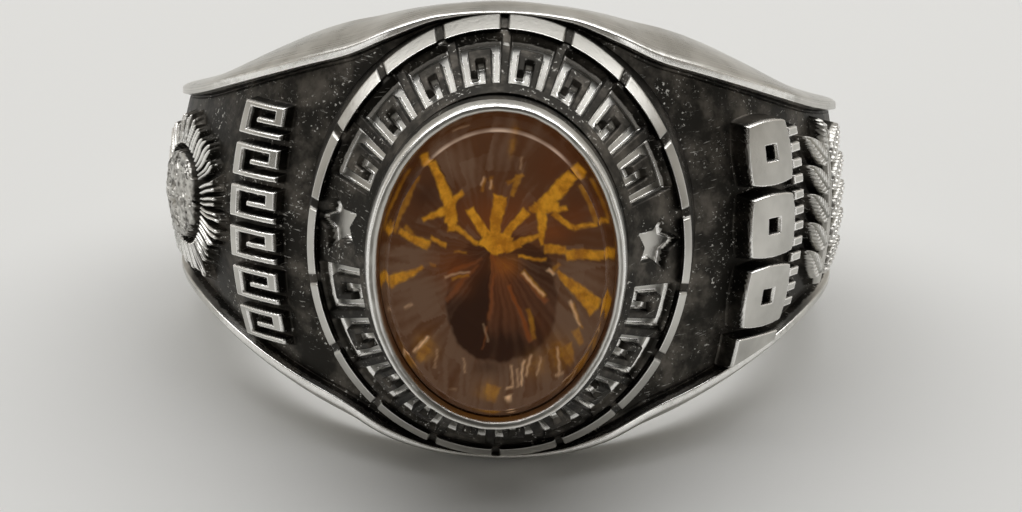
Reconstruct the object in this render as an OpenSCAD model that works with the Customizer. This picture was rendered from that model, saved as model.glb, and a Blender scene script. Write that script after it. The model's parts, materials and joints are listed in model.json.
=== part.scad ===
// Class ring lying on its side, millimetres, +Z up.
// One cast ring with raised ornament and one oval faceted stone under its bezel lip.
// The casting is worked out in its own axes, with the finger hole along Z, the head towards -Y
// and the middle of the hole at the origin, and is laid down as the last step.

/* [Finger hole] */
// Radius of the round finger hole
bore_r = 9.05; // [8.2:0.05:10]

/* [Band] */
// Metal between the finger hole and the top of the side rails
rail_wall = 2.25; // [1.9:0.05:2.8]
// Half of the band's width at the back
back_half = 2.2; // [1.6:0.1:3]
// Width of the rail that edges each side panel
rail_w = 0.35; // [0.25:0.05:0.6]
// Depth of the panel floor below the rails
panel_sink = 0.5; // [0.3:0.05:0.7]
// Rise of the left panel floor at the middle of the band
crown_left = 0.95; // [0.6:0.05:1.2]
// Rise of the right panel floor at the middle of the band
crown_right = 0.8; // [0.4:0.05:1]

/* [Head] */
// Metal between the finger hole and the ends of the head
end_wall = 1.55; // [1.3:0.05:2]
// Rise of the bezel's top above the ends of the head
head_rise = 4.6; // [4.2:0.1:5.4]
// Depth of the brick border behind the bezel's top, at the sides of the head
side_drop = 3.05; // [2.6:0.05:3.6]
// Width of the sloped channel between bezel and bricks, seen from above
channel_w = 1.93; // [1.6:0.05:2.3]
// Width of the brick border at the sides of the head, seen from above
brick_w = 0.26; // [0.2:0.02:0.5]
// Height of the bricks above the channel
brick_h = 0.3; // [0.2:0.05:0.45]
// Number of bricks in the border
brick_count = 18; // [12:2:24]
// Width of the gap between two bricks
brick_gap = 0.28; // [0.1:0.02:0.4]

/* [Bezel] */
// Width of the bezel lip
lip_w = 0.4; // [0.3:0.05:0.6]
// Height of the bezel lip above the channel
lip_h = 0.9; // [0.7:0.05:1.1]
// How far the bezel lip reaches over the stone
lip_over = 0.15; // [0.1:0.05:0.3]

/* [Stone] */
// Width of the stone, across the finger
stone_w = 8.2; // [7:0.1:9]
// Length of the stone, along the finger
stone_l = 10.85; // [9.6:0.1:11.6]
// Height of the stone's crown, from girdle to table
crown_h = 0.75; // [0.6:0.05:1]
// Thickness of the stone's girdle
girdle_h = 0.2; // [0.1:0.05:0.35]
// Depth of the stone below its girdle
pavilion_h = 3.1; // [2.6:0.1:3.5]
// Facets round the stone
stone_facets = 24; // [16:8:32]
// Clearance between the stone and its seat
seat_gap = 0.05; // [0.03:0.01:0.1]

/* [Ornament] */
// Height of the raised frets in the channel
fret_h = 0.38; // [0.25:0.02:0.5]
// Frets along the upper half of the channel
frets_above = 8; // [6:1:9]
// Frets along the lower half of the channel
frets_below = 10; // [8:1:11]
// Radius of the star at each side of the channel
star_r = 0.85; // [0.6:0.05:0.95]
// Height of the raised work on the left panel
left_h = 0.5; // [0.3:0.05:0.7]
// Frets in the left panel's column
left_frets = 6; // [4:1:7]
// Height of the large blocks on the right panel
block_h = 0.8; // [0.6:0.05:1.1]
// Height of the other raised work on the right panel
right_h = 0.5; // [0.3:0.05:0.7]
// Rays of the sunburst on the left panel
ray_count = 20; // [14:2:24]
// Pairs of leaves in the spray on the right panel
leaf_pairs = 5; // [4:1:6]

/* [Hidden] */

// How deep every raised piece is rooted in the metal below it
root = 0.2;
// Distance of the bezel's top from the middle of the hole
table_y = bore_r + end_wall + head_rise;
// At the ends of the head the channel is narrower, the bricks are wider and they slope more
end_lip = 0.9;
end_channel = 0.88;
end_brick = 1.55;
end_fall = 2.9;
// Half-axes of the bezel's opening, of its outside and of the two edges of the brick border
open_x = stone_w / 2 - lip_over;
open_z = stone_l / 2 - lip_over;
lip_x = open_x + lip_w;
lip_z = open_z + lip_w * end_lip;
brick_in_x = lip_x + channel_w;
brick_in_z = lip_z + channel_w * end_channel;
brick_out_x = brick_in_x + brick_w;
brick_out_z = brick_in_z + brick_w * end_brick;
// Half of the ring's width along the finger, at the ends of the head
head_half = brick_out_z + 0.05;
// Depth of the stone's table below the bezel's top, and share of the stone that its table takes
stone_sink = 0.06;
table_share = 0.86;
// Depth of the stone's culet
culet_depth = stone_sink + crown_h + girdle_h + pavilion_h;

// The band's sections from the middle of the head round to the back, the same on both sides.
// PHI: degrees from the head. RAIL: rail radius above the hole, as a share of rail_wall.
// INNER and EDGE: half-width at the rail's inner edge and at the finger hole, each as a share of
// the way from back_half to head_half. CROWN, SINK and WIDE: shares of the panel floor's rise,
// of its depth below the rails and of the rail's width.
PHI = 0; RAIL = 1; INNER = 2; EDGE = 3; CROWN = 4; SINK = 5; WIDE = 6;
SECTIONS = [
    // phi  rail  inner  edge  crown  sink  wide
    [  0, 0.69, 0.99, 1.03, 0.00, 0.5, 0.2],
    [ 12, 0.79, 0.94, 1.00, 0.00, 0.8, 0.5],
    [ 20, 0.98, 0.83, 0.96, 0.00, 1.0, 0.9],
    [ 28, 1.00, 0.70, 0.90, 0.25, 1.0, 1.0],
    [ 36, 1.00, 0.61, 0.84, 0.85, 1.0, 1.0],
    [ 45, 1.01, 0.51, 0.75, 1.00, 1.0, 1.0],
    [ 56, 1.04, 0.39, 0.62, 0.90, 1.0, 1.0],
    [ 70, 1.13, 0.25, 0.42, 0.65, 1.0, 1.0],
    [ 85, 1.23, 0.15, 0.27, 0.45, 0.7, 1.0],
    [ 98, 1.20, 0.09, 0.17, 0.25, 0.3, 0.9],
    [106, 1.14, 0.05, 0.13, 0.10, 0.1, 0.6],
    [114, 1.04, 0.02, 0.10, 0.05, 0.0, 0.4],
    [140, 0.88, 0.00, 0.04, 0.05, 0.0, 0.3],
    [180, 0.80, 0.00, 0.02, 0.05, 0.0, 0.3]];

// Charts of the raised patterns, one character for each cell of a small grid
FRET = ["#####",
        "#...#",
        "#.#.#",
        "#.###"];
TALL_FRET = ["#####",
             "#...#",
             "#.#.#",
             "#.#.#",
             "#.###"];
BLOCK = ["#####",
         "#####",
         "##.##",
         "#####",
         "#####"];
SHORT_BLOCK = ["#####",
               "#####"];

// Where the ornament stands on the side panels: degrees from the head and half-widths in millimetres
column_from = 40;
column_to = 51;
blocks_from = 44;
blocks_to = 55.5;
ribbon_from = 57.5;
ribbon_to = 61;
spray_at = 73;
burst_at = 73;

// Value of a column at an angle, on a smooth curve through the table's rows
function slope(i, c) = let (a = SECTIONS[max(i - 1, 0)], b = SECTIONS[min(i + 1, len(SECTIONS) - 1)])
    (b[c] - a[c]) / (b[PHI] - a[PHI]);
function row_below(phi, i = 0) =
    i >= len(SECTIONS) - 2 || phi < SECTIONS[i + 1][PHI] ? i : row_below(phi, i + 1);
function section(phi, c) =
    let (p = abs(phi), i = row_below(p), a = SECTIONS[i], b = SECTIONS[i + 1],
         step = b[PHI] - a[PHI], s = (p - a[PHI]) / step,
         start = i == 0 ? 0 : slope(i, c) * step,
         stop = i == len(SECTIONS) - 2 ? 0 : slope(i + 1, c) * step)
    a[c] * (1 + 2 * s) * (1 - s) * (1 - s) + start * s * (1 - s) * (1 - s)
    + b[c] * s * s * (3 - 2 * s) + stop * s * s * (s - 1);

function rail_top(phi) = bore_r + rail_wall * section(phi, RAIL);
function half_width(phi, c) = back_half + (head_half - back_half) * section(phi, c);
function inner_half(phi) = half_width(phi, INNER);
function outer_half(phi) = inner_half(phi) + rail_w * section(phi, WIDE);
function crown(phi) = (phi < 0 ? crown_left : crown_right) * section(phi, CROWN);
function panel_r(phi, z) = let (share = min(abs(z) / inner_half(phi), 1))
    rail_top(phi) - panel_sink * section(phi, SINK) + crown(phi) * (1 - share * share);

// A point at an angle from the head, at a radius and a height along the finger
function around(phi, r, z) = [r * sin(phi), -r * cos(phi), z];
// A point of an oval with half-axes a and b, at a depth behind the bezel's top
function oval(a, b, t, depth) = [a * cos(t), depth - table_y, b * sin(t)];
// A length that changes from the sides of the head to its ends
function side_to_end(side, end, t) = side + (end - side) * sin(t) * sin(t);

// Two triangles for each cell between neighbouring rings of points
function cell(a, b, c, d) = [[c, b, a], [d, c, a]];
function skin(rings, n, closed = false) = [
    for (i = [0:rings - (closed ? 1 : 2)], k = [0:n - 1])
        let (j = (i + 1) % rings, m = (k + 1) % n)
            each cell(i * n + k, i * n + m, j * n + m, j * n + k)];

// A closed hoop of sections
module hoop(rings) {
    polyhedron([for (r = rings) each r], skin(len(rings), len(rings[0]), true));
}

// A stack of rings from bottom to top, closed by a fan to one point at each end
module stack(rings, bottom, top) {
    n = len(rings[0]);
    count = len(rings) * n;
    polyhedron(concat([for (r = rings) each r], [bottom, top]), concat(
        skin(len(rings), n),
        [for (k = [0:n - 1]) [k, (k + 1) % n, count]],
        [for (k = [0:n - 1]) [count - n + (k + 1) % n, count - n + k, count + 1]]));
}

// The raised cells of a chart. place(x, y, h) gives a point, with x and y from 0 to 1 over the chart.
module chart(rows, place, height) {
    nx = len(rows[0]);
    ny = len(rows);
    layer = (nx + 1) * (ny + 1);
    function up(i, j) = i >= 0 && i < nx && j >= 0 && j < ny && rows[ny - 1 - j][i] == "#";
    function id(i, j, top) = j * (nx + 1) + i + (top ? layer : 0);
    function wall(a, b, c, d) = cell(id(a, b, false), id(c, d, false), id(c, d, true), id(a, b, true));
    polyhedron(
        [for (h = [-root, height], j = [0:ny], i = [0:nx]) place(i / nx, j / ny, h)],
        [for (j = [0:ny - 1], i = [0:nx - 1]) if (up(i, j)) each concat(
            cell(id(i, j, true), id(i + 1, j, true), id(i + 1, j + 1, true), id(i, j + 1, true)),
            cell(id(i, j, false), id(i, j + 1, false), id(i + 1, j + 1, false), id(i + 1, j, false)),
            up(i, j - 1) ? [] : wall(i, j, i + 1, j),
            up(i + 1, j) ? [] : wall(i + 1, j, i + 1, j + 1),
            up(i, j + 1) ? [] : wall(i + 1, j + 1, i, j + 1),
            up(i - 1, j) ? [] : wall(i, j + 1, i, j))]);
}

// A raised patch with a flat outline of points [x, y] and a peak over its middle
module patch(outline, place, height, peak) {
    middle = [0, 0];
    stack([for (h = [-root, height]) [for (p = outline) place(p[0], p[1], h)]],
        place(0, 0, -root), place(0, 0, peak));
}

// Places on the casting
// Side panel, side -1 or 1: x runs away from the head and y along the finger, down on the left
// so that what is placed there isn't turned inside out
function on_panel(side, phi, x, y, h) =
    let (p = side * (phi + x / rail_top(phi) * 180 / PI))
    around(p, panel_r(p, y) + h, side * y);
// Channel: turn t round the head, share s of the way from the bezel's foot to the bricks
function channel_point(t, s) =
    let (foot = 0.06,
         a = lip_x + foot + (channel_w - 2 * foot) * s,
         b = lip_z + foot + (channel_w * end_channel - 2 * foot) * s,
         side = lip_h + (side_drop - brick_w + brick_h - lip_h) * s,
         end = lip_h + (head_rise - brick_w * end_fall + brick_h - lip_h) * s)
    oval(a, b, t, side_to_end(side, end, t));
function unit(v) = v / norm(v);
function on_channel(t, s, h) =
    let (across = channel_point(t, s + 0.01) - channel_point(t, s - 0.01),
         along = channel_point(t + 1, s) - channel_point(t - 1, s))
    channel_point(t, s) + h * unit(cross(along, across));

// The band: rails, sunk side panels and plain back
module band() {
    hoop([for (phi = [-180:6:174])
        let (inner = inner_half(phi), outer = outer_half(phi), edge = half_width(phi, EDGE),
             top = rail_top(phi), wall = top - bore_r,
             flare = (edge - outer) / wall, hidden = 0.6,
             side = [[bore_r - hidden, edge + flare * hidden],
                     [top - 0.12, outer],
                     [top, inner],
                     [panel_r(phi, inner), inner - 0.12 * section(phi, SINK)],
                     [panel_r(phi, inner * 0.55), inner * 0.55]])
        [for (p = side) around(phi, p[0], p[1]),
         around(phi, panel_r(phi, 0), 0),
         for (i = [len(side) - 1:-1:0]) around(phi, side[i][0], -side[i][1])]]);
}

// The head: outer wall, border, sloped channel and bezel lip
module head() {
    turns = [for (t = [0:7.5:352.5]) t];
    base_r = bore_r + 1.1;
    function level(a, b, side, end) = [for (t = turns) oval(a, b, t, side_to_end(side, end, t))];
    stack([
        [for (t = turns) let (x = (brick_out_x + 0.25) * cos(t))
            [x, -sqrt(base_r * base_r - x * x), brick_out_z * sin(t)]],
        level(brick_out_x - 0.04, brick_out_z - 0.04, side_drop + brick_h, head_rise + brick_h),
        [for (t = turns) channel_point(t, 1)],
        [for (t = turns) channel_point(t, 0)],
        level(lip_x, lip_z, 0.25, 0.25),
        level((lip_x + open_x) / 2, (lip_z + open_z) / 2, 0, 0),
        level(open_x - 0.1, open_z - 0.1, 0.12, 0.12)],
        [0, -base_r + 0.5, 0], [0, 0.12 - table_y, 0]);
}

// The bricks of the border, the first with its edge at the top of the head
module bricks() {
    pitch = 360 / brick_count;
    gap = brick_gap / brick_out_x * 180 / PI;
    for (k = [0:brick_count - 1])
        chart(["####"], function (x, y, h)
            let (t = 90 + k * pitch + gap / 2 + (pitch - gap) * (1 - x),
                 a = brick_in_x + brick_w * y, b = brick_in_z + (brick_out_z - brick_in_z) * y,
                 side = side_drop - brick_w * (1 - y), end = head_rise - brick_w * end_fall * (1 - y))
            oval(a, b, t, side_to_end(side, end, t) + (h > 0 ? 0 : brick_h + root)), brick_h);
}

// The stone's rings from pavilion to girdle, and one ring of its facets' corners,
// as shares of its width and length, at a depth and grown by a clearance
function stone_ring(share_x, share_z, depth, gap) =
    [for (k = [0:stone_facets - 1]) let (t = (k + 0.5) * 360 / stone_facets)
        oval(stone_w / 2 * share_x + gap, stone_l / 2 * share_z + gap, t, depth)];
function stone_body(gap) = let (girdle = stone_sink + crown_h) [
    stone_ring(0.5, 0.53, girdle + girdle_h + pavilion_h * 0.62, gap),
    stone_ring(1, 1, girdle + girdle_h + gap / 2, gap),
    stone_ring(1, 1, girdle - gap / 2, gap)];

// The stone: a pavilion in two tiers, girdle, crown and table
module stone() color([0.86, 0.5, 0.13, 0.8]) lay_down()
    stack(concat(stone_body(0), [stone_ring(table_share, table_share + 0.03, stone_sink, 0)]),
        [0, culet_depth - table_y, 0], [0, stone_sink - table_y, 0]);

// What is cut away for the stone, up through the bezel's opening
module stone_seat() {
    above = 1;
    // Depth at which the stone's crown, with its clearance, passes below the lip's inner edge
    under_lip = stone_sink + crown_h * (1 - (1 - 2 * open_x / stone_w) / (1 - table_share)) - seat_gap;
    function opening(depth) = [for (k = [0:stone_facets - 1])
        oval(open_x, open_z, (k + 0.5) * 360 / stone_facets, depth)];
    stack(concat(stone_body(seat_gap), [opening(under_lip), opening(-above)]),
        [0, culet_depth + 2 * seat_gap - table_y, 0], [0, -above - table_y, 0]);
}

// A five-pointed star, and a pointed leaf turned by an angle
function star(r) = [for (k = [0:9]) (k % 2 == 0 ? r : r * 0.5) * [cos(90 + 36 * k), sin(90 + 36 * k)]];
function leaf(long, wide, turn) = [for (k = [0:7])
    let (a = 45 * k, x = long / 2 * cos(a), y = wide / 2 * sin(a) * (1 - 0.35 * cos(a)))
        [x * cos(turn) - y * sin(turn), x * sin(turn) + y * cos(turn)]];

// Frets along the channel and a star at each side
module channel_ornament() {
    module frets(count, from, to) {
        pitch = (to - from) / count;
        for (k = [0:count - 1])
            chart(FRET, function (x, y, h) on_channel(from + pitch * (k + 0.1 + 0.8 * x), 0.17 + 0.74 * y, h), fret_h);
    }
    right_star = 3.5;
    left_star = 172;
    clear = 11;
    frets(frets_above, right_star + clear + 2, left_star - clear);
    frets(frets_below, left_star + clear, 360 + right_star - clear);
    for (t = [right_star, left_star])
        patch(star(star_r), function (x, y, h) on_channel(t + x * 9, 0.54 + y / 2.7, h), fret_h, fret_h + 0.05);
}

// The left panel: a column of frets and a sunburst round an oval boss
module left_ornament() {
    half = inner_half(column_from) - 1;
    middle = -0.2;
    pitch = 2 * half / left_frets;
    for (k = [0:left_frets - 1])
        chart(TALL_FRET, function (x, y, h)
            let (phi = column_from + (column_to - column_from) * y, z = middle - half + pitch * (k + 0.1 + 0.8 * x))
            around(-phi, panel_r(-phi, z) + h, z), left_h);
    long = 3.4;
    tall = inner_half(burst_at) - 0.4;
    boss = 0.52;
    for (k = [0:ray_count - 1]) {
        place = function (x, y, h)
            let (t = -(k + 0.55 * x * (1 - 0.35 * y)) * 360 / ray_count, s = boss + (1 - boss) * y)
            on_panel(-1, burst_at, long * s * cos(t), tall * s * sin(t), h);
        chart(["#", "#"], place, left_h * 0.8);
    }
    patch([for (k = [0:15]) (boss - 0.05) * [long * cos(22.5 * k), tall * sin(22.5 * k)]],
        function (x, y, h) on_panel(-1, burst_at, x, y, h), left_h * 0.6, left_h * 1.25);
}

// The right panel: a column of pierced blocks, the lowest cut short by the rail, a ribbon of short bars
// and a leafy spray
module right_ornament() {
    top = inner_half(blocks_from) - 1.2;
    block_count = 3;
    pitch = (top + inner_half(blocks_to) - 0.7) / block_count;
    for (k = [0:block_count - 1])
        chart(BLOCK, function (x, y, h)
            let (s = x - 0.5, t = y - 0.5,
                 phi = blocks_from + (blocks_to - blocks_from) * (0.5 + s * (1 - 0.6 * t * t)),
                 z = top - pitch * (k + 0.5 - 0.9 * t * (1 - 0.6 * s * s)))
            around(phi, panel_r(phi, z) + h, z), block_h);
    chart(SHORT_BLOCK, function (x, y, h)
        let (phi = blocks_from + (blocks_to - blocks_from) * x,
             low = 0.12 - inner_half(phi), high = top - pitch * (block_count + 0.05),
             z = low + (high - low) * y)
        around(phi, panel_r(phi, z) + h, z), block_h);
    bars = 12;
    ribbon = inner_half(ribbon_to) - 0.7;
    for (k = [0:bars - 1])
        chart(["#"], function (x, y, h)
            let (phi = ribbon_from + (ribbon_to - ribbon_from) * x, z = ribbon * (2 * (k + 0.2 + 0.6 * y) / bars - 1))
            around(phi, panel_r(phi, z) + h, z), right_h * 0.8);
    tall = inner_half(spray_at) - 0.4;
    step = 2 * tall / (leaf_pairs + 1);
    chart(["#", "#", "#", "#"], function (x, y, h) on_panel(1, spray_at, 0.3 * (x - 0.5), tall * (1.8 * y - 0.95), h), right_h);
    for (k = [0:leaf_pairs - 1], s = [-1, 1])
        let (y = -tall + step * (k + 1.1))
        patch(leaf(1.9, 0.8, 90 - s * 52),
            function (x, z, h) on_panel(1, spray_at, s * 0.95 + x, y + z, h), right_h * 0.6, right_h * 1.2);
    patch(leaf(1.2, 0.6, 90), function (x, z, h) on_panel(1, spray_at, x, tall - 0.5 + z, h), right_h * 0.6, right_h * 1.1);
}

// The ring rests on the finger hole's lower edge at the head and on the band's lower edge at the back.
// Its own frame is in the middle of the box that it then fills, on the surface that it rests on.
rest_head = [-bore_r, -half_width(0, EDGE)];
rest_back = [rail_top(180), -outer_half(180)];
lie_tilt = atan((rest_back[1] - rest_head[1]) / (rest_back[0] - rest_head[0]));
rest_z = rest_head[1] * cos(lie_tilt) - rest_head[0] * sin(lie_tilt);
front_y = -table_y * cos(lie_tilt) - (lip_z + open_z) / 2 * sin(lie_tilt);
back_y = rail_top(180) * cos(lie_tilt) + inner_half(180) * sin(lie_tilt);
hole_y = -(front_y + back_y) / 2;
module lay_down() {
    translate([0, hole_y, -rest_z]) rotate([-lie_tilt, 0, 0]) children();
}

// Resizing to zeros keeps every length: it joins the whole casting into one skin before it is bored
module ring_casting() color("silver") lay_down() difference() {
    resize([0, 0, 0]) difference() {
        union() {
            band();
            head();
            bricks();
            channel_ornament();
            left_ornament();
            right_ornament();
        }
        stone_seat();
    }
    cylinder(r = bore_r, h = 4 * head_half, center = true, $fn = 180);
}

ring_casting();
stone();
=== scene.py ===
"""Class ring lying on its side: a cast silver ring with raised ornament and one oval amber stone.

Every shape is a surface of two parameters, worked out in the ring's own axes in millimetres: the finger hole
runs along Z, the head looks towards -Y and the middle of the hole is the origin. The last step lays the ring
down on the floor and turns millimetres into metres.
"""

import json
import logging
from dataclasses import dataclass, field
from enum import Enum
from math import cos, degrees, pi, radians, sin
from typing import Callable, Sequence

import bpy
import numpy as np
from mathutils import Matrix, Vector
from numpy.typing import NDArray


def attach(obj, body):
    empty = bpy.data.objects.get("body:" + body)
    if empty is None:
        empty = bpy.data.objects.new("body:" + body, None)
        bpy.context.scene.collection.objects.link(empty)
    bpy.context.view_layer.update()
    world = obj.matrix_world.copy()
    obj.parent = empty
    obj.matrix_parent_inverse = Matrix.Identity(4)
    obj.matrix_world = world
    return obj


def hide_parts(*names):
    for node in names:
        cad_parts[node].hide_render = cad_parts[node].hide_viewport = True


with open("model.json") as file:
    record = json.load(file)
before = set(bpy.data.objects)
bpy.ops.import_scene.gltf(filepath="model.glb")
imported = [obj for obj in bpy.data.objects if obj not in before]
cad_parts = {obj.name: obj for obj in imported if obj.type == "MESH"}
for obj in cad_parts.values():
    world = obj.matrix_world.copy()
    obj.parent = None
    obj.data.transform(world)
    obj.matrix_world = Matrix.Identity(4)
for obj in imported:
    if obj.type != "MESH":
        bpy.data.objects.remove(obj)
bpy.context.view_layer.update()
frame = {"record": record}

Array = NDArray[np.float64]
Colour = tuple[float, float, float]
Strokes = tuple[tuple[float, ...], ...]
# A closed surface: its points, and groups of faces of equally many corners.
Shell = tuple[Array, list[Array]]

# Millimetres that count as far outside a shape.
FAR = 9.0

log = logging.getLogger("class_ring")


class Column(Enum):
    """The columns of the band's table of sections, after the angle in its first column."""

    RAIL = 1
    INNER = 2
    EDGE = 3
    CROWN = 4
    SINK = 5
    WIDE = 6


class Side(Enum):
    """The two shoulders, as one faces the stone."""

    LEFT = -1
    RIGHT = 1


class Slot(Enum):
    """The record's material slots."""

    SILVER = "silver"
    GEMSTONE = "gemstone"


# Shared shapes


def smooth_step(low: float, high: float, x: Array) -> Array:
    """A level-ended ramp from 0 at low to 1 at high: s^2 (3 - 2 s), with s the clipped share of the way."""
    s = np.clip((x - low) / (high - low), 0.0, 1.0)
    return s * s * (3.0 - 2.0 * s)


def plateau(distance: Array, edge: float) -> Array:
    """1 inside an outline and 0 outside, with a smooth ramp as wide as edge centred on the outline."""
    return 1.0 - smooth_step(-edge / 2, edge / 2, distance)


def bell(x: Array, width: float) -> Array:
    """A bell curve of height 1 about 0: e to the power of -(x / width)^2."""
    return np.exp(-((x / width) ** 2))


def worn_sheen_edge(distance: Array, inset: float = 0.05, width: float = 0.045) -> Array:
    """A soft line just inside an outline, where a raised piece is rubbed bright and carries a painted
    highlight.
    """
    return bell(distance + inset, width)


def scatter(number: Array) -> Array:
    """An uneven value from 0 to 1 for each whole number: the fraction of a large multiple of its sine."""
    return np.mod(np.sin(number * 12.9898) * 43758.5453, 1.0)


def join(*coordinates: Array | float) -> Array:
    """Points whose coordinates, brought to one shape, stand along a new last axis."""
    return np.stack(np.broadcast_arrays(*coordinates), axis=-1)


def unit(vectors: Array) -> Array:
    """The vectors divided by their lengths."""
    return vectors / np.maximum(np.linalg.norm(vectors, axis=-1, keepdims=True), 1e-12)


def circle(count: int) -> Array:
    """Turns in radians, spaced evenly round a circle from 0."""
    return np.linspace(0.0, 2 * pi, count, endpoint=False)


def side_to_end(side: Array | float, end: Array | float, t: Array) -> Array:
    """A length that changes from the sides of the head to its ends, by the square of sin t."""
    return side + (end - side) * np.sin(t) ** 2


def around(phi: Array, r: Array, z: Array) -> Array:
    """Points at degrees from the head, at a radius and a height along the finger: (r sin, -r cos, z)."""
    turn = np.radians(phi)
    return join(r * np.sin(turn), -r * np.cos(turn), z)


def turned(x: Array, y: Array, angle: float) -> tuple[Array, Array]:
    """Places turned about the origin by degrees."""
    c, s = cos(radians(angle)), sin(radians(angle))
    return x * c - y * s, x * s + y * c


def graded(edges: Sequence[float], counts: Sequence[int]) -> Array:
    """Places along a line that are spaced evenly between neighbouring edges.

    Args:
        edges: The ends of the stretches.
        counts: How many steps each stretch has.

    Returns:
        All the places, from the first edge to the last.
    """
    parts = [np.linspace(a, b, n, endpoint=False) for a, b, n in zip(edges, edges[1:], counts)]
    return np.concatenate([*parts, [edges[-1]]])


def soften(corners: Array, reach: Sequence[float], steps: int) -> Array:
    """Rounds the corners of many open profiles at once.

    Each inner corner becomes a curve from a point before it to a point after it, bent towards the corner:
    (1 - q)^2 before + 2 q (1 - q) corner + q^2 after, with q from 0 to 1.

    Args:
        corners: The profiles' corners, profiles by corners by coordinates.
        reach: How far from each inner corner its curve starts and ends, at most 0.45 of the way to the next.
        steps: Steps of each curve.

    Returns:
        The rounded profiles, with steps + 1 points for each inner corner and both ends as they were.
    """
    out = [corners[:, :1]]
    q = np.linspace(0.0, 1.0, steps + 1)[None, :, None]
    for i, wanted in enumerate(reach, start=1):
        corner = corners[:, i]
        back, on = corners[:, i - 1] - corner, corners[:, i + 1] - corner
        near = [np.minimum(wanted, 0.45 * np.linalg.norm(v, axis=-1, keepdims=True)) for v in (back, on)]
        before, after = (corner + unit(v) * n for v, n in zip((back, on), near))
        curve = (1 - q) ** 2 * before[:, None] + 2 * q * (1 - q) * corner[:, None] + q**2 * after[:, None]
        out.append(curve)
    return np.concatenate([*out, corners[:, -1:]], axis=1)


def along_line(ends: Array, count: int) -> Array:
    """Points spaced evenly from the first to the second of each profile's two ends, in count steps."""
    share = np.linspace(0.0, 1.0, count + 1)[None, :, None]
    return ends[:, :1] * (1 - share) + ends[:, 1:] * share


@dataclass(frozen=True)
class Pattern:
    """Raised cells of a small chart as straight strokes.

    Attributes:
        rows: The chart, one character for each cell, its top row first.
    """

    rows: Sequence[str]

    def strokes(self) -> list[tuple[float, float, float, float]]:
        """Finds the runs of raised cells.

        Returns:
            Low and high x, then low and high y of each run across and up the chart, in shares of the chart.
        """
        wide, tall = len(self.rows[0]), len(self.rows)
        up = [[cell == "#" for cell in row] for row in reversed(self.rows)]
        across = [(a / wide, b / wide, j / tall, (j + 1) / tall) for j in range(tall)
                  for a, b in self._runs(up[j])]
        upward = [(i / wide, (i + 1) / wide, a / tall, b / tall) for i in range(wide)
                  for a, b in self._runs([row[i] for row in up]) if b - a > 1]
        return across + upward

    @staticmethod
    def _runs(cells: Sequence[bool]) -> list[tuple[int, int]]:
        """The first and the last edge of each run of raised cells."""
        padded = [False, *cells, False]
        edges = [i for i in range(len(cells) + 1) if padded[i] != padded[i + 1]]
        return list(zip(edges[::2], edges[1::2]))

    def distance(self, x: Array, y: Array, width: float, height: float) -> Array:
        """How far each place is outside the strokes.

        For one stroke it is the larger of the distances past its sides along x and along y. The least over
        all strokes counts. It is below 0 inside.

        Args:
            x: Places across the chart, from 0 to 1.
            y: Places up the chart, from 0 to 1.
            width: The chart's width in millimetres.
            height: The chart's height.

        Returns:
            The distance in millimetres.
        """
        least = np.full(np.broadcast(x, y).shape, FAR)
        for x0, x1, y0, y1 in self.strokes():
            across = np.maximum(x0 - x, x - x1) * width
            up = np.maximum(y0 - y, y - y1) * height
            least = np.minimum(least, np.maximum(across, up))
        return least


FRET = Pattern(("#####",
                "#...#",
                "#.#.#",
                "#.###"))
TALL_FRET = Pattern((*FRET.rows[:3], *FRET.rows[2:]))


@dataclass(frozen=True)
class BandSections:
    """The band's sections from the middle of the head round to the back, the same on both sides.

    The columns are those of Column, after degrees from the head. RAIL is the rail's radius above the hole,
    as a share of rail_wall. INNER and EDGE are the half-width at the rail's inner edge and at the hole, each
    as a share of the way from back_half to head_half. CROWN, SINK and WIDE are shares of the panel floor's
    rise, of its depth below the rails and of the rail's width.
    """

    rows: tuple[tuple[float, ...], ...] = (
        (0, 0.69, 0.99, 1.03, 0.00, 0.5, 0.2),
        (12, 0.79, 0.94, 1.00, 0.00, 0.8, 0.5),
        (20, 0.98, 0.83, 0.96, 0.00, 1.0, 0.9),
        (28, 1.00, 0.70, 0.90, 0.25, 1.0, 1.0),
        (36, 1.00, 0.61, 0.84, 0.85, 1.0, 1.0),
        (45, 1.01, 0.51, 0.75, 1.00, 1.0, 1.0),
        (56, 1.04, 0.39, 0.62, 0.90, 1.0, 1.0),
        (70, 1.13, 0.25, 0.42, 0.65, 1.0, 1.0),
        (85, 1.23, 0.15, 0.27, 0.45, 0.7, 1.0),
        (98, 1.20, 0.09, 0.17, 0.25, 0.3, 0.9),
        (106, 1.14, 0.05, 0.13, 0.10, 0.1, 0.6),
        (114, 1.04, 0.02, 0.10, 0.05, 0.0, 0.4),
        (140, 0.88, 0.00, 0.04, 0.05, 0.0, 0.3),
        (180, 0.80, 0.00, 0.02, 0.05, 0.0, 0.3),
    )

    def at(self, phi: Array, column: Column) -> Array:
        """The value of a column at angles, on a smooth curve through the table's rows.

        Between two rows it is the cubic that has their values and slopes. The slope at a row is the
        difference of its neighbours over the angle between them, and 0 at both ends.

        Args:
            phi: Degrees from the head.
            column: The column.

        Returns:
            Its values.
        """
        table = np.array(self.rows)
        turn, value = table[:, 0], table[:, column.value]
        slope = np.zeros(len(turn))
        slope[1:-1] = (value[2:] - value[:-2]) / (turn[2:] - turn[:-2])
        p = np.abs(phi)
        i = np.clip(np.searchsorted(turn, p, side="right") - 1, 0, len(turn) - 2)
        step = turn[i + 1] - turn[i]
        s = (p - turn[i]) / step
        rise = value[i] * (1 + 2 * s) * (1 - s) ** 2 + slope[i] * step * s * (1 - s) ** 2
        return rise + value[i + 1] * s**2 * (3 - 2 * s) + slope[i + 1] * step * s**2 * (s - 1)


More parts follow.
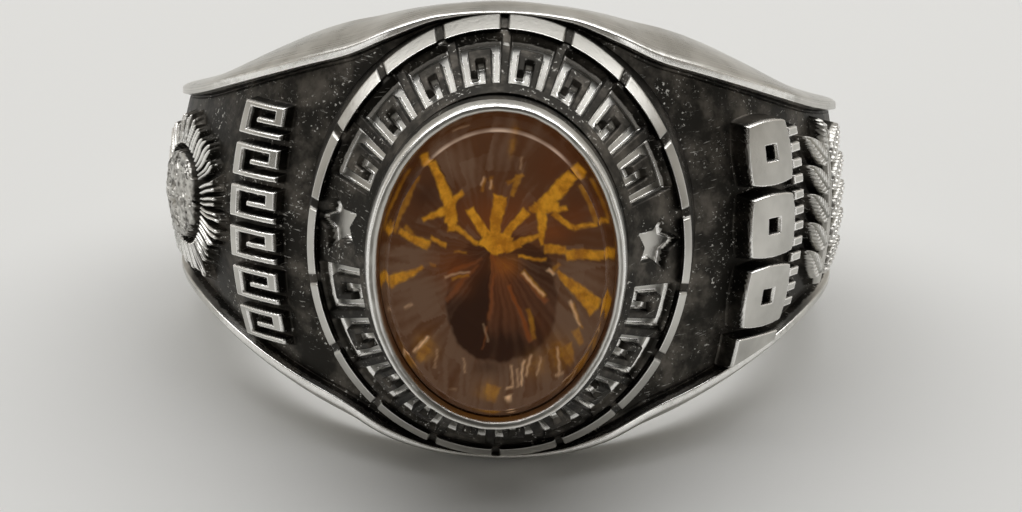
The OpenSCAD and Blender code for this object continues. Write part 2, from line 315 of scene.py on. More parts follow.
@dataclass(frozen=True)
class RingSizes:
    """The ring's driving sizes in millimetres, the same as in the casting's own source."""

    bore_r: float = 9.05
    rail_wall: float = 2.25
    back_half: float = 2.2
    rail_w: float = 0.35
    panel_sink: float = 0.5
    crown_left: float = 0.95
    crown_right: float = 0.8
    end_wall: float = 1.55
    head_rise: float = 4.6
    side_drop: float = 3.05
    channel_w: float = 1.93
    brick_w: float = 0.26
    brick_h: float = 0.3
    lip_w: float = 0.4
    lip_h: float = 0.9
    lip_over: float = 0.15
    stone_w: float = 8.2
    stone_l: float = 10.85
    end_lip: float = 0.9
    end_channel: float = 0.88
    end_brick: float = 1.55
    end_fall: float = 2.9
    floor_inset: float = 0.12
    foot: float = 0.06
    end_margin: float = 0.05
    sections: BandSections = field(default_factory=BandSections)

    @property
    def table_y(self) -> float:
        """Distance of the bezel's top from the middle of the hole."""
        return self.bore_r + self.end_wall + self.head_rise

    @property
    def opening(self) -> tuple[float, float]:
        """Half-axes of the bezel's opening."""
        return self.stone_w / 2 - self.lip_over, self.stone_l / 2 - self.lip_over

    @property
    def lip(self) -> tuple[float, float]:
        """Half-axes of the bezel's outside."""
        x, z = self.opening
        return x + self.lip_w, z + self.lip_w * self.end_lip

    @property
    def brick_in(self) -> tuple[float, float]:
        """Half-axes of the brick border's inner edge."""
        x, z = self.lip
        return x + self.channel_w, z + self.channel_w * self.end_channel

    @property
    def brick_out(self) -> tuple[float, float]:
        """Half-axes of the brick border's outer edge."""
        x, z = self.brick_in
        return x + self.brick_w, z + self.brick_w * self.end_brick

    @property
    def head_half(self) -> float:
        """Half of the ring's width along the finger, at the ends of the head."""
        return self.brick_out[1] + self.end_margin

    def half_width(self, phi: Array, column: Column) -> Array:
        """Half of the band's width: back_half, and the column's share of the way from there to head_half."""
        return self.back_half + (self.head_half - self.back_half) * self.sections.at(phi, column)

    def rail_top(self, phi: Array) -> Array:
        """The radius of the rails: bore_r plus the section's share of rail_wall."""
        return self.bore_r + self.rail_wall * self.sections.at(phi, Column.RAIL)

    def inner_half(self, phi: Array) -> Array:
        """Half of the distance between the rails."""
        return self.half_width(phi, Column.INNER)

    def floor_half(self, phi: Array) -> Array:
        """Half of the panel floor's width, up to floor_inset less than between the rails."""
        return self.inner_half(phi) - self.floor_inset * self.sections.at(phi, Column.SINK)

    def panel_r(self, phi: Array, z: Array) -> Array:
        """The panel floor's radius: the rail's, less the sink, plus a crown times 1 - (z / inner_half)^2.

        Args:
            phi: Degrees from the head.
            z: Places along the finger in millimetres.

        Returns:
            The radii.
        """
        share = np.minimum(np.abs(z) / self.inner_half(phi), 1.0)
        crown = np.where(phi < 0, self.crown_left, self.crown_right) * self.sections.at(phi, Column.CROWN)
        sink = self.panel_sink * self.sections.at(phi, Column.SINK)
        return self.rail_top(phi) - sink + crown * (1 - share**2)

    def oval(self, axes: tuple[float | Array, float | Array], t: Array, depth: Array | float) -> Array:
        """Points a cos t across and b sin t along the finger, at a depth behind the bezel's top."""
        a, b = axes
        return join(a * np.cos(t), depth - self.table_y, b * np.sin(t))

    def channel(self, t: Array, s: Array, height: Array | float = 0.0) -> Array:
        """Points on or above the sloped channel.

        The point at turn t and share s from the bezel's foot to the bricks is on an oval whose half-axes and
        depth grow evenly with s. The height is along the normal, the cross product of both tangents.

        Args:
            t: Turns round the head, in radians.
            s: Shares of the way across the channel.
            height: Heights above the channel in millimetres.

        Returns:
            The points in the ring's axes.
        """
        small = 1e-3
        across = self._channel_floor(t, s + small) - self._channel_floor(t, s - small)
        along = self._channel_floor(t + small, s) - self._channel_floor(t - small, s)
        out = unit(np.cross(along, across))
        return self._channel_floor(t, s) + out * np.asarray(height)[..., None]

    def _channel_floor(self, t: Array, s: Array) -> Array:
        """The channel's floor: the sides' and the ends' depths, joined by the square of sin t.

        Args:
            t: Turns round the head, in radians.
            s: Shares of the way across the channel.

        Returns:
            The points.
        """
        (lip_x, lip_z), (in_x, in_z), foot = self.lip, self.brick_in, self.foot
        a = lip_x + foot + (in_x - lip_x - 2 * foot) * s
        b = lip_z + foot + (in_z - lip_z - 2 * foot) * s
        side = self.lip_h + (self.side_drop - self.brick_w + self.brick_h - self.lip_h) * s
        end = self.lip_h + (self.head_rise - self.brick_w * self.end_fall + self.brick_h - self.lip_h) * s
        return self.oval((a, b), t, side_to_end(side, end, t))


@dataclass(frozen=True)
class StoneCut:
    """The stone's cut, the same as in the part's own source.

    Attributes:
        crown_h: Height from girdle to table.
        girdle_h: Thickness of the girdle.
        pavilion_h: Depth below the girdle.
        sink: Depth of the table behind the bezel's top.
        table: Shares of the stone's width and length that the table takes.
        table_low: How far the table's middle is below the stone's.
        bevel: Width of the rubbed edge round the table.
        middle: Shares of width and length at the ring of corners between the pavilion's two tiers.
        middle_share: That ring's share of the pavilion's depth.
        mains: Main facets round the pavilion.
    """

    crown_h: float = 0.75
    girdle_h: float = 0.2
    pavilion_h: float = 3.1
    sink: float = 0.06
    table: tuple[float, float] = (0.895, 0.88)
    table_low: float = 0.26
    bevel: float = 0.05
    middle: tuple[float, float] = (0.50, 0.53)
    middle_share: float = 0.62
    mains: int = 12

    @property
    def girdle_depth(self) -> float:
        """Depth of the girdle's upper edge behind the bezel's top."""
        return self.sink + self.crown_h

    @property
    def low_depth(self) -> float:
        """Depth of the girdle's lower edge."""
        return self.girdle_depth + self.girdle_h

    @property
    def middle_depth(self) -> float:
        """Depth of the pavilion's middle ring."""
        return self.low_depth + self.middle_share * self.pavilion_h

    @property
    def culet_depth(self) -> float:
        """Depth of the stone's lowest point."""
        return self.low_depth + self.pavilion_h


# Meshes


@dataclass(frozen=True)
class Lie:
    """How the ring lies: the middle of its hole and the hole's axis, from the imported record's bore mount."""

    centre: tuple[float, float, float]
    axis: tuple[float, float, float]

    @classmethod
    def from_record(cls, record: dict) -> "Lie":
        """Reads the bore mount."""
        mount = next(m for m in record["mounts"] if m["kind"] == "bore")
        return cls(tuple(mount["pos_m"]), tuple(mount["axis"]))

    @property
    def axes(self) -> Array:
        """The ring's own x, y and z directions in the scene, one in each row."""
        z = unit(np.array(self.axis))
        x = np.array([1.0, 0.0, 0.0])
        return np.stack([x, np.cross(z, x), z])

    def place(self, points: Array) -> Array:
        """Points in the ring's axes in millimetres, laid down in the scene in metres."""
        return points @ self.axes / 1000.0 + np.array(self.centre)


def grid_faces(rows: int, columns: int, wrap_rows: bool, wrap_columns: bool) -> Array:
    """The four corners of every cell of a grid of points, numbered row by row.

    Args:
        rows: Rows of points.
        columns: Points in a row.
        wrap_rows: Whether the last row is joined to the first.
        wrap_columns: Whether the last column is joined to the first.

    Returns:
        The numbers of four points for each face.
    """
    ids = np.arange(rows * columns).reshape(rows, columns)
    down, right = np.roll(ids, -1, axis=0), np.roll(ids, -1, axis=1)
    both = np.roll(down, -1, axis=1)
    cells = np.stack([ids, right, both, down], axis=-1)
    cells = cells[: rows if wrap_rows else rows - 1, : columns if wrap_columns else columns - 1]
    return cells.reshape(-1, 4)


def outward(points: Array, groups: Sequence[Array]) -> list[Array]:
    """Groups of faces, all turned over if the volume that they enclose comes out below 0.

    The volume is six times the sum of the tetrahedra from the points' middle to each face's triangles.

    Args:
        points: The points.
        groups: Groups of faces of equally many corners.

    Returns:
        The groups, in order.
    """
    volume, local = 0.0, points - points.mean(axis=0)
    for faces in groups:
        first = local[faces[:, 0]]
        for i in range(1, faces.shape[1] - 1):
            volume += np.einsum("ij,ij->", first, np.cross(local[faces[:, i]], local[faces[:, i + 1]]))
    return [faces if volume > 0 else faces[:, ::-1] for faces in groups]


def stand(name: str, data: bpy.types.ID) -> bpy.types.Object:
    """Puts an object with its data in the scene."""
    thing = bpy.data.objects.new(name, data)
    bpy.context.scene.collection.objects.link(thing)
    return thing


def hoop(points: Array) -> Shell:
    """A surface that closes on itself both ways."""
    return points.reshape(-1, 3), [grid_faces(*points.shape[:2], True, True)]


def capped(points: Array, tips: Array) -> Shell:
    """A surface that closes on itself round its rows, its first and last column each joined to a tip.

    Args:
        points: Rows by columns by coordinates.
        tips: The two tips.

    Returns:
        The shell, with the tips last.
    """
    rows, columns = points.shape[:2]
    row, tip = np.arange(rows), rows * columns
    after = (row + 1) % rows
    groups = [
        grid_faces(rows, columns, True, False),
        join(tip, row * columns, after * columns),
        join(tip + 1, (after + 1) * columns - 1, (row + 1) * columns - 1),
    ]
    return np.concatenate([points.reshape(-1, 3), tips]), groups


def patch(points: Array, depth: Array) -> Shell:
    """A raised sheet that a coarse back closes below.

    The back joins each row's two ends straight across, at a depth under the sheet, and its first and its last
    row are joined to the sheet's by one face each.

    Args:
        points: The sheet, rows by columns by coordinates.
        depth: The way from each row's sheet to its back.

    Returns:
        The shell.
    """
    rows, columns = points.shape[:2]
    back = np.stack([points[:, 0] + depth, points[:, -1] + depth], axis=1)
    left = np.arange(rows) * columns
    right = left + columns - 1
    low = rows * columns + 2 * np.arange(rows)
    lines = (left, low, low + 1, right)
    walls = np.concatenate([join(a[1:], b[1:], b[:-1], a[:-1]) for a, b in zip(lines, lines[1:])])
    first = np.concatenate([[low[0], low[0] + 1], np.arange(columns)[::-1]])[None]
    last = np.concatenate([[low[-1] + 1, low[-1]], left[-1] + np.arange(columns)])[None]
    groups = [np.concatenate([grid_faces(rows, columns, False, False), walls]), first, last]
    return np.concatenate([points.reshape(-1, 3), back.reshape(-1, 3)]), groups


@dataclass
class Workshop:
    """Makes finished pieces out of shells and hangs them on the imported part.

    Attributes:
        lie: How the ring lies.
        made: Names and triangles of the pieces made so far.
    """

    lie: Lie
    made: dict[str, int] = field(default_factory=dict)

    def piece(self, name: str, shell: Shell, values: dict[str, Array],
              material: bpy.types.Material) -> bpy.types.Object:
        """Makes one finished piece that faces outward and rides on the part's only body.

        Args:
            name: The piece's name.
            shell: Its points in the ring's axes, in millimetres, and groups of faces of equally many corners.
            values: Numbers for the grid's points, by the name of their attribute. Any further point has 0.
            material: Its finish.

        Returns:
            The piece.
        """
        points, groups = shell
        groups = outward(points, groups)
        mesh = bpy.data.meshes.new(name)
        mesh.from_pydata(self.lie.place(points), [], [face for group in groups for face in group.tolist()])
        mesh.polygons.foreach_set("use_smooth", np.full(len(mesh.polygons), True))
        for key, numbers in values.items():
            padded = np.zeros(len(points), np.float32)
            padded[: numbers.size] = numbers.ravel()
            mesh.attributes.new(key, "FLOAT", "POINT").data.foreach_set("value", padded)
        mesh.materials.append(material)
        mesh.update()
        piece = stand(name, mesh)
        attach(piece, "root")
        self.made[name] = sum(len(group) * (group.shape[1] - 2) for group in groups)
        return piece


# Shader maths


def arithmetic(operation: str, reflected: bool = False) -> Callable[["Value", "Value | float"], "Value"]:
    """Makes the method of Value that stands for one operator.

    Args:
        operation: The Math node's operation.
        reflected: Whether the other operand comes first.

    Returns:
        The method.
    """
    def apply(self: "Value", other: "Value | float") -> "Value":
        """Adds one Math node with both operands."""
        operands = (other, self) if reflected else (self, other)
        return self.graph.value("ShaderNodeMath", {"operation": operation}, dict(enumerate(operands)))

    return apply


@dataclass(frozen=True)
class Value:
    """A number or colour in a material that takes part in Python expressions.

    Attributes:
        graph: The material's graph.
        socket: The socket that gives the value.
    """

    graph: "Graph"
    socket: bpy.types.NodeSocket

    __add__, __radd__ = arithmetic("ADD"), arithmetic("ADD", reflected=True)
    __sub__, __rsub__ = arithmetic("SUBTRACT"), arithmetic("SUBTRACT", reflected=True)
    __mul__, __rmul__ = arithmetic("MULTIPLY"), arithmetic("MULTIPLY", reflected=True)

    def step(self, low: float, high: float) -> "Value":
        """A smooth ramp from 0 where the value is low to 1 where it is high."""
        settings = {"interpolation_type": "SMOOTHSTEP"}
        return self.graph.value("ShaderNodeMapRange", settings, {0: self, 1: low, 2: high, 3: 0.0, 4: 1.0})

    def blend(self, low: "Value | Colour", high: "Value | Colour") -> "Value":
        """A colour between low, where this value is 0, and high, where it is 1."""
        colours = {key: (*c, 1.0) if isinstance(c, tuple) else c for key, c in ((6, low), (7, high))}
        return self.graph.value("ShaderNodeMix", {"data_type": "RGBA"}, {0: self, **colours}, output=2)


class Graph:
    """The nodes of one material or world."""

    def __init__(self, owner: bpy.types.Material | bpy.types.World) -> None:
        """Starts with no nodes.

        Args:
            owner: What the nodes belong to.
        """
        self.owner = owner
        owner.use_nodes = True
        self.tree = owner.node_tree
        self.tree.nodes.clear()

    @classmethod
    def material(cls, name: str) -> "Graph":
        """Makes an empty material."""
        return cls(bpy.data.materials.new(name))

    def add(self, kind: str, settings: dict[str, str], inputs: dict) -> bpy.types.Node:
        """Adds any node.

        Args:
            kind: The node's type.
            settings: Its settings, set first.
            inputs: Values, colours or links for its sockets, by name or number.

        Returns:
            The node.
        """
        node = self.tree.nodes.new(kind)
        for name, setting in settings.items():
            setattr(node, name, setting)
        for key, given in inputs.items():
            if isinstance(given, Value):
                self.tree.links.new(given.socket, node.inputs[key])
            else:
                node.inputs[key].default_value = given
        return node

    def value(self, kind: str, settings: dict[str, str], inputs: dict, output: int | str = 0) -> Value:
        """Adds any node and returns one of its outputs, by name or number."""
        return Value(self, self.add(kind, settings, inputs).outputs[output])

    def attribute(self, name: str) -> Value:
        """A number that the piece's points carry."""
        return self.value("ShaderNodeAttribute", {"attribute_name": name}, {}, output="Fac")

    def noise(self, size: float, detail: float = 3.0, roughness: float = 0.55, flat: float = 1.0) -> Value:
        """Soft noise about 0.5 that stands in the object.

        Args:
            size: The size of its largest patches in millimetres.
            detail: Octaves of finer noise.
            roughness: Weight of each finer octave.
            flat: How many times lower than wide the patches are.

        Returns:
            The noise.
        """
        place = self.value("ShaderNodeTexCoord", {}, {}, output="Object")
        if flat != 1.0:
            place = self.value("ShaderNodeMapping", {}, {"Vector": place, "Scale": (1.0, 1.0, flat)})
        inputs = {"Vector": place, "Scale": 1000.0 / size, "Detail": detail, "Roughness": roughness}
        return self.value("ShaderNodeTexNoise", {}, inputs)

    def brushed(self, length: float, width: float) -> Value:
        """Soft noise in lines of a length and a width in millimetres, on the attributes along and across."""
        parts = {"X": self.attribute("along") * (1.0 / length), "Y": self.attribute("across") * (1.0 / width)}
        place = self.value("ShaderNodeCombineXYZ", {}, parts)
        return self.value("ShaderNodeTexNoise", {}, {"Vector": place, "Scale": 1.0, "Detail": 3.0})

    def principled(self, inputs: dict) -> bpy.types.Material:
        """Ends the material with one principled surface, whose sockets have these values or links."""
        surface = self.value("ShaderNodeBsdfPrincipled", {}, inputs)
        self.add("ShaderNodeOutputMaterial", {}, {"Surface": surface})
        return self.owner


@dataclass(frozen=True)
class AntiquedSilver:
    """Cast silver with a near-black patina in its recesses and a satin polish on what stands proud.

    The piece's polish attribute says how far each place is rubbed bright, its wear_and_sheen attribute where
    an edge is rubbed brightest and carries a near-white painted highlight, and its painted_shade attribute
    where painted shade dims the silver to grey, all from 0 to 1. Its along and across attributes are places on
    the band in millimetres.
    """

    bright: Colour = (0.68, 0.665, 0.625)
    dull: Colour = (0.46, 0.45, 0.42)
    # edge: near-white silver of the worn edges, partly rubbed wear and partly a painted highlight.
    edge: Colour = (0.97, 0.96, 0.93)
    patina: Colour = (0.030, 0.028, 0.0245)
    smoky: Colour = (0.140, 0.126, 0.108)
    # Grey of the painted shade that dims the bricks at the head's top end.
    painted_shade_grey: Colour = (0.270, 0.262, 0.240)
    roughness: float = 0.31
    patina_rougher: float = 0.18
    edge_smoother: float = 0.06
    uneven: float = 0.20
    relief: float = 0.00003

    def build(self, name: str) -> bpy.types.Material:
        """Builds the material.

        The polish is broken up by noise before it mixes patina and silver. Fine specks and short scratches of
        bare metal show in the patina. Clouds and long faint brush lines vary the silver, and pits and the
        brush lines give its bump. Painted shade turns the silver grey, and worn edges turn near-white, partly
        rubbed wear and partly a painted highlight.

        Args:
            name: The material's name.

        Returns:
            The material.
        """
        g = Graph.material(name)
        grime, clouds, brushed = g.noise(0.30, 4.0, 0.6), g.noise(2.4, 3.0, 0.6), g.brushed(6.0, 0.05)
        rubbed = (g.attribute("polish") + (grime - 0.5) * 0.50).step(0.40, 0.62)
        specks = g.noise(0.13, 2.0, 0.7).step(0.60, 0.68) * g.noise(1.3, 2.0).step(0.40, 0.60)
        hairs = g.noise(0.45, 2.0, 0.5, flat=8.0).step(0.64, 0.71) * g.noise(1.9, 2.0).step(0.42, 0.60)
        bare = (specks * 0.80 + hairs * 0.55).step(0.0, 1.0)
        shine = rubbed + (1.0 - rubbed) * bare
        silver = (clouds * 0.6 + brushed * 0.4).step(0.36, 0.62).blend(self.dull, self.bright)
        # Painted shade: the silver turns grey where the painted_shade attribute is high.
        silver = (g.attribute("painted_shade") * 0.88).blend(silver, self.painted_shade_grey)
        # Near-white edges: partly rubbed wear, partly a painted highlight.
        worn_and_sheen = (g.attribute("wear_and_sheen") + (grime - 0.5) * 0.7).step(0.30, 0.75)
        dark = g.noise(1.4, 4.0, 0.65).step(0.42, 0.72).blend(self.patina, self.smoky)
        colour = (worn_and_sheen * rubbed).blend(shine.blend(dark, silver), self.edge)
        rough = self.roughness + (1.0 - shine) * self.patina_rougher + (brushed - 0.5) * self.uneven
        rough = rough + (clouds - 0.5) * self.uneven - worn_and_sheen * self.edge_smoother
        height = g.noise(0.14, 4.0, 0.65) + brushed * 0.35
        bump = g.value("ShaderNodeBump", {}, {"Height": height, "Strength": 0.30, "Distance": self.relief})
        return g.principled({"Base Color": colour, "Metallic": 1.0, "Roughness": rough, "Normal": bump})


@dataclass(frozen=True)
class AmberCrystal:
    """The stone's clear front, which bends and reflects the light.

    The rim attribute grows from 0 on the table to 1 at the girdle, where painted shade beside the bezel makes
    the stone darker and where it is duller. The painted_highlight attribute is a glowing painted highlight
    along the table's upper edge, for the light that its rubbed edge catches.
    """

    tint: Colour = (1.0, 0.97, 0.92)
    # Tint of the painted shade on the crown beside the bezel.
    girdle_shade_tint: Colour = (0.36, 0.28, 0.24)
    # Colour of the glowing painted highlight on the table's upper edge.
    painted_highlight: Colour = (0.60, 0.45, 0.34)
    rim_roughness: float = 0.38
    index: float = 1.40

    def build(self, name: str) -> bpy.types.Material:
        """Builds the material: smooth refraction through the table and a softer one through the crown.

        Args:
            name: The material's name.

        Returns:
            The material.
        """
        g = Graph.material(name)
        # The painted highlight glows on the table's upper edge.
        rim, painted_highlight = g.attribute("rim"), g.attribute("painted_highlight").blend((0.0, 0.0, 0.0), self.painted_highlight)
        return g.principled({
            "Base Color": rim.blend(self.tint, self.girdle_shade_tint), "Roughness": rim * self.rim_roughness,
            "Emission Color": painted_highlight, "Emission Strength": 1.0, "IOR": self.index, "Transmission Weight": 1.0})


@dataclass(frozen=True)
class AmberDepth:
    """The stone's pavilion as seen through the front: a dark amber ground with painted shade, painted
    reflections of the light in its facets, and a painted glow.

    The attributes haze, deep, ember, flash and glint say from 0 to 1 how much of each tone a place has:
    haze the ground, partly the stone's colour and partly painted reflection; deep painted shade; ember,
    flash and glint painted red, amber and pale reflections.
    """

    # brown and mauve: the ground, partly the stone's colour and partly painted reflection.
    brown: Colour = (0.086, 0.034, 0.013)
    mauve: Colour = (0.142, 0.082, 0.050)
    # Painted shade of the dark oval.
    dark: Colour = (0.028, 0.010, 0.004)
    # Painted red reflections in the facets.
    red: Colour = (0.185, 0.050, 0.010)
    # amber, honey and pale: painted reflections and highlights in the facets.
    amber: Colour = (0.36, 0.140, 0.008)
    honey: Colour = (0.58, 0.27, 0.018)
    pale: Colour = (0.80, 0.52, 0.30)
    # The pavilion's colour is also emitted: a painted glow.
    glow: float = 0.5
    roughness: float = 0.4

    def build(self, name: str) -> bpy.types.Material:
        """Builds the material: each attribute mixes its tone over the last, and part of it glows as painted
        light.

        Args:
            name: The material's name.

        Returns:
            The material.
        """
        g = Graph.material(name)
        cloud, grain = g.noise(0.9, 3.0, 0.6), g.noise(0.35, 3.0, 0.6)
        # The ground: partly the stone's colour, partly painted reflection.
        ground = (g.attribute("haze") + (cloud - 0.5) * 0.5).step(0.0, 1.0).blend(self.brown, self.mauve)
        # Painted shade of the dark oval.
        ground = g.attribute("deep").blend(ground, self.dark)
        # Painted red reflections.
        ground = g.attribute("ember").blend(ground, self.red)
        # Painted reflections: amber flashes, then pale glints.
        flash = g.attribute("flash") * (0.70 + grain * 0.60)
        lit = flash.blend(ground, (cloud * 0.5 + grain * 0.5).step(0.36, 0.62).blend(self.amber, self.honey))
        colour = g.attribute("glint").blend(lit, self.pale)
        return g.principled({
            "Base Color": colour, "Emission Color": colour, "Emission Strength": self.glow,
            "Roughness": self.roughness, "Specular IOR Level": 0.0})


@dataclass(frozen=True)
class PaleFloor:
    """A plain matt floor."""

    colour: Colour = (0.80, 0.80, 0.785)
    cloudy: float = 0.985
    roughness: float = 0.75

    def build(self, name: str) -> bpy.types.Material:
        """Builds the material, with a very faint cloudiness.

        Args:
            name: The material's name.

        Returns:
            The material.
        """
        g = Graph.material(name)
        darker = tuple(self.cloudy * c for c in self.colour)
        return g.principled({
            "Base Color": g.noise(90.0, 2.0).step(0.2, 0.8).blend(darker, self.colour),
            "Roughness": self.roughness, "Specular IOR Level": 0.2})


# Sub-assemblies


@dataclass
class Band:
    """The hoop: a round bore, two slanted side faces, two rails and the sunk floor between them.

    Attributes:
        sizes: The ring's sizes.
        turns: Sections round the hoop.
        bulge: How far the middle of each side face stands out.
        worn_and_sheen_to: Degrees from the head where the rails' worn, painted-highlight edges start and end
            to fade.
        plain_from: Degrees where the ornament ends and where the band is evenly polished.
        brush_r: Radius on which the brush lines' length is measured.
    """

    sizes: RingSizes
    turns: int = 720
    bulge: float = 0.16
    worn_and_sheen_to: tuple[float, float] = (52.0, 76.0)
    plain_from: tuple[float, float] = (98.0, 112.0)
    brush_r: float = 10.5

    def profiles(self, phi: Array) -> Array:
        """The upper half of every section as a rounded line.

        It runs from the middle of the floor over the rail and down the side face to the middle of the bore,
        through the floor's edge, the rail's inner and outer edge, the side face's middle and the bore's edge.

        Args:
            phi: Degrees from the head, one for each section.

        Returns:
            Radius and height along the finger of every point, sections by points by 2.
        """
        z = self.sizes
        top, inner, floor_z = z.rail_top(phi), z.inner_half(phi), z.floor_half(phi)
        outer = inner + z.rail_w * z.sections.at(phi, Column.WIDE)
        edge = z.half_width(phi, Column.EDGE)
        share = np.linspace(0.0, 1.0, 19)[:-1, None]
        floor = join(z.panel_r(phi, share * floor_z), share * floor_z).transpose(1, 0, 2)
        corners = np.stack([
            floor[:, -1],
            join(z.panel_r(phi, inner) - 0.001, floor_z),
            join(top, inner),
            join(top, outer),
            join((top + z.bore_r) / 2, (outer + edge) / 2 + self.bulge),
            join(z.bore_r, edge),
            join(z.bore_r, 0.0 * phi),
        ], axis=1)
        rounded = soften(corners, (0.05, 0.05, 0.9, 1.0, 0.22), steps=7)
        return np.concatenate([floor[:, :-1], rounded], axis=1)

    def build(self, shop: Workshop, silver: bpy.types.Material) -> bpy.types.Object:
        """Builds the piece: each section is its upper half and the same turned over.

        Args:
            shop: Where it is made.
            silver: Its finish.

        Returns:
            The piece.
        """
        phi = np.linspace(-180.0, 180.0, self.turns, endpoint=False)
        upper = self.profiles(phi)
        lower = upper[:, 1:-1][:, ::-1] * np.array([1.0, -1.0])
        whole = np.concatenate([upper, lower], axis=1)
        r, z, phi = whole[..., 0], whole[..., 1], phi[:, None]
        height, rim = r - self.sizes.rail_top(phi), np.abs(z) - self.sizes.inner_half(phi)
        sunk = smooth_step(-0.35, -0.04, np.where(rim < 0.02, height, 0.0))
        polish = np.maximum(np.where(r < self.sizes.bore_r + 0.02, 0.86, sunk),
                            smooth_step(*self.plain_from, np.abs(phi)))
        # The rails' edges: partly rubbed wear, partly a painted highlight.
        wear_and_sheen = np.maximum(bell(rim, 0.06), 0.75 * plateau(np.abs(rim - 0.15) - 0.15, 0.2))
        wear_and_sheen = wear_and_sheen * smooth_step(-0.14, -0.02, height) * (1.0 - smooth_step(*self.worn_and_sheen_to, np.abs(phi)))
        head = whole[self.turns // 4]
        across = np.cumsum(np.linalg.norm(np.diff(head, axis=0, prepend=head[:1]), axis=1))
        along, across = np.broadcast_arrays(np.radians(phi) * self.brush_r, across)
        values = {"polish": polish, "wear_and_sheen": wear_and_sheen, "along": along, "across": across}
        return shop.piece("band", hoop(around(phi, r, z)), values, silver)


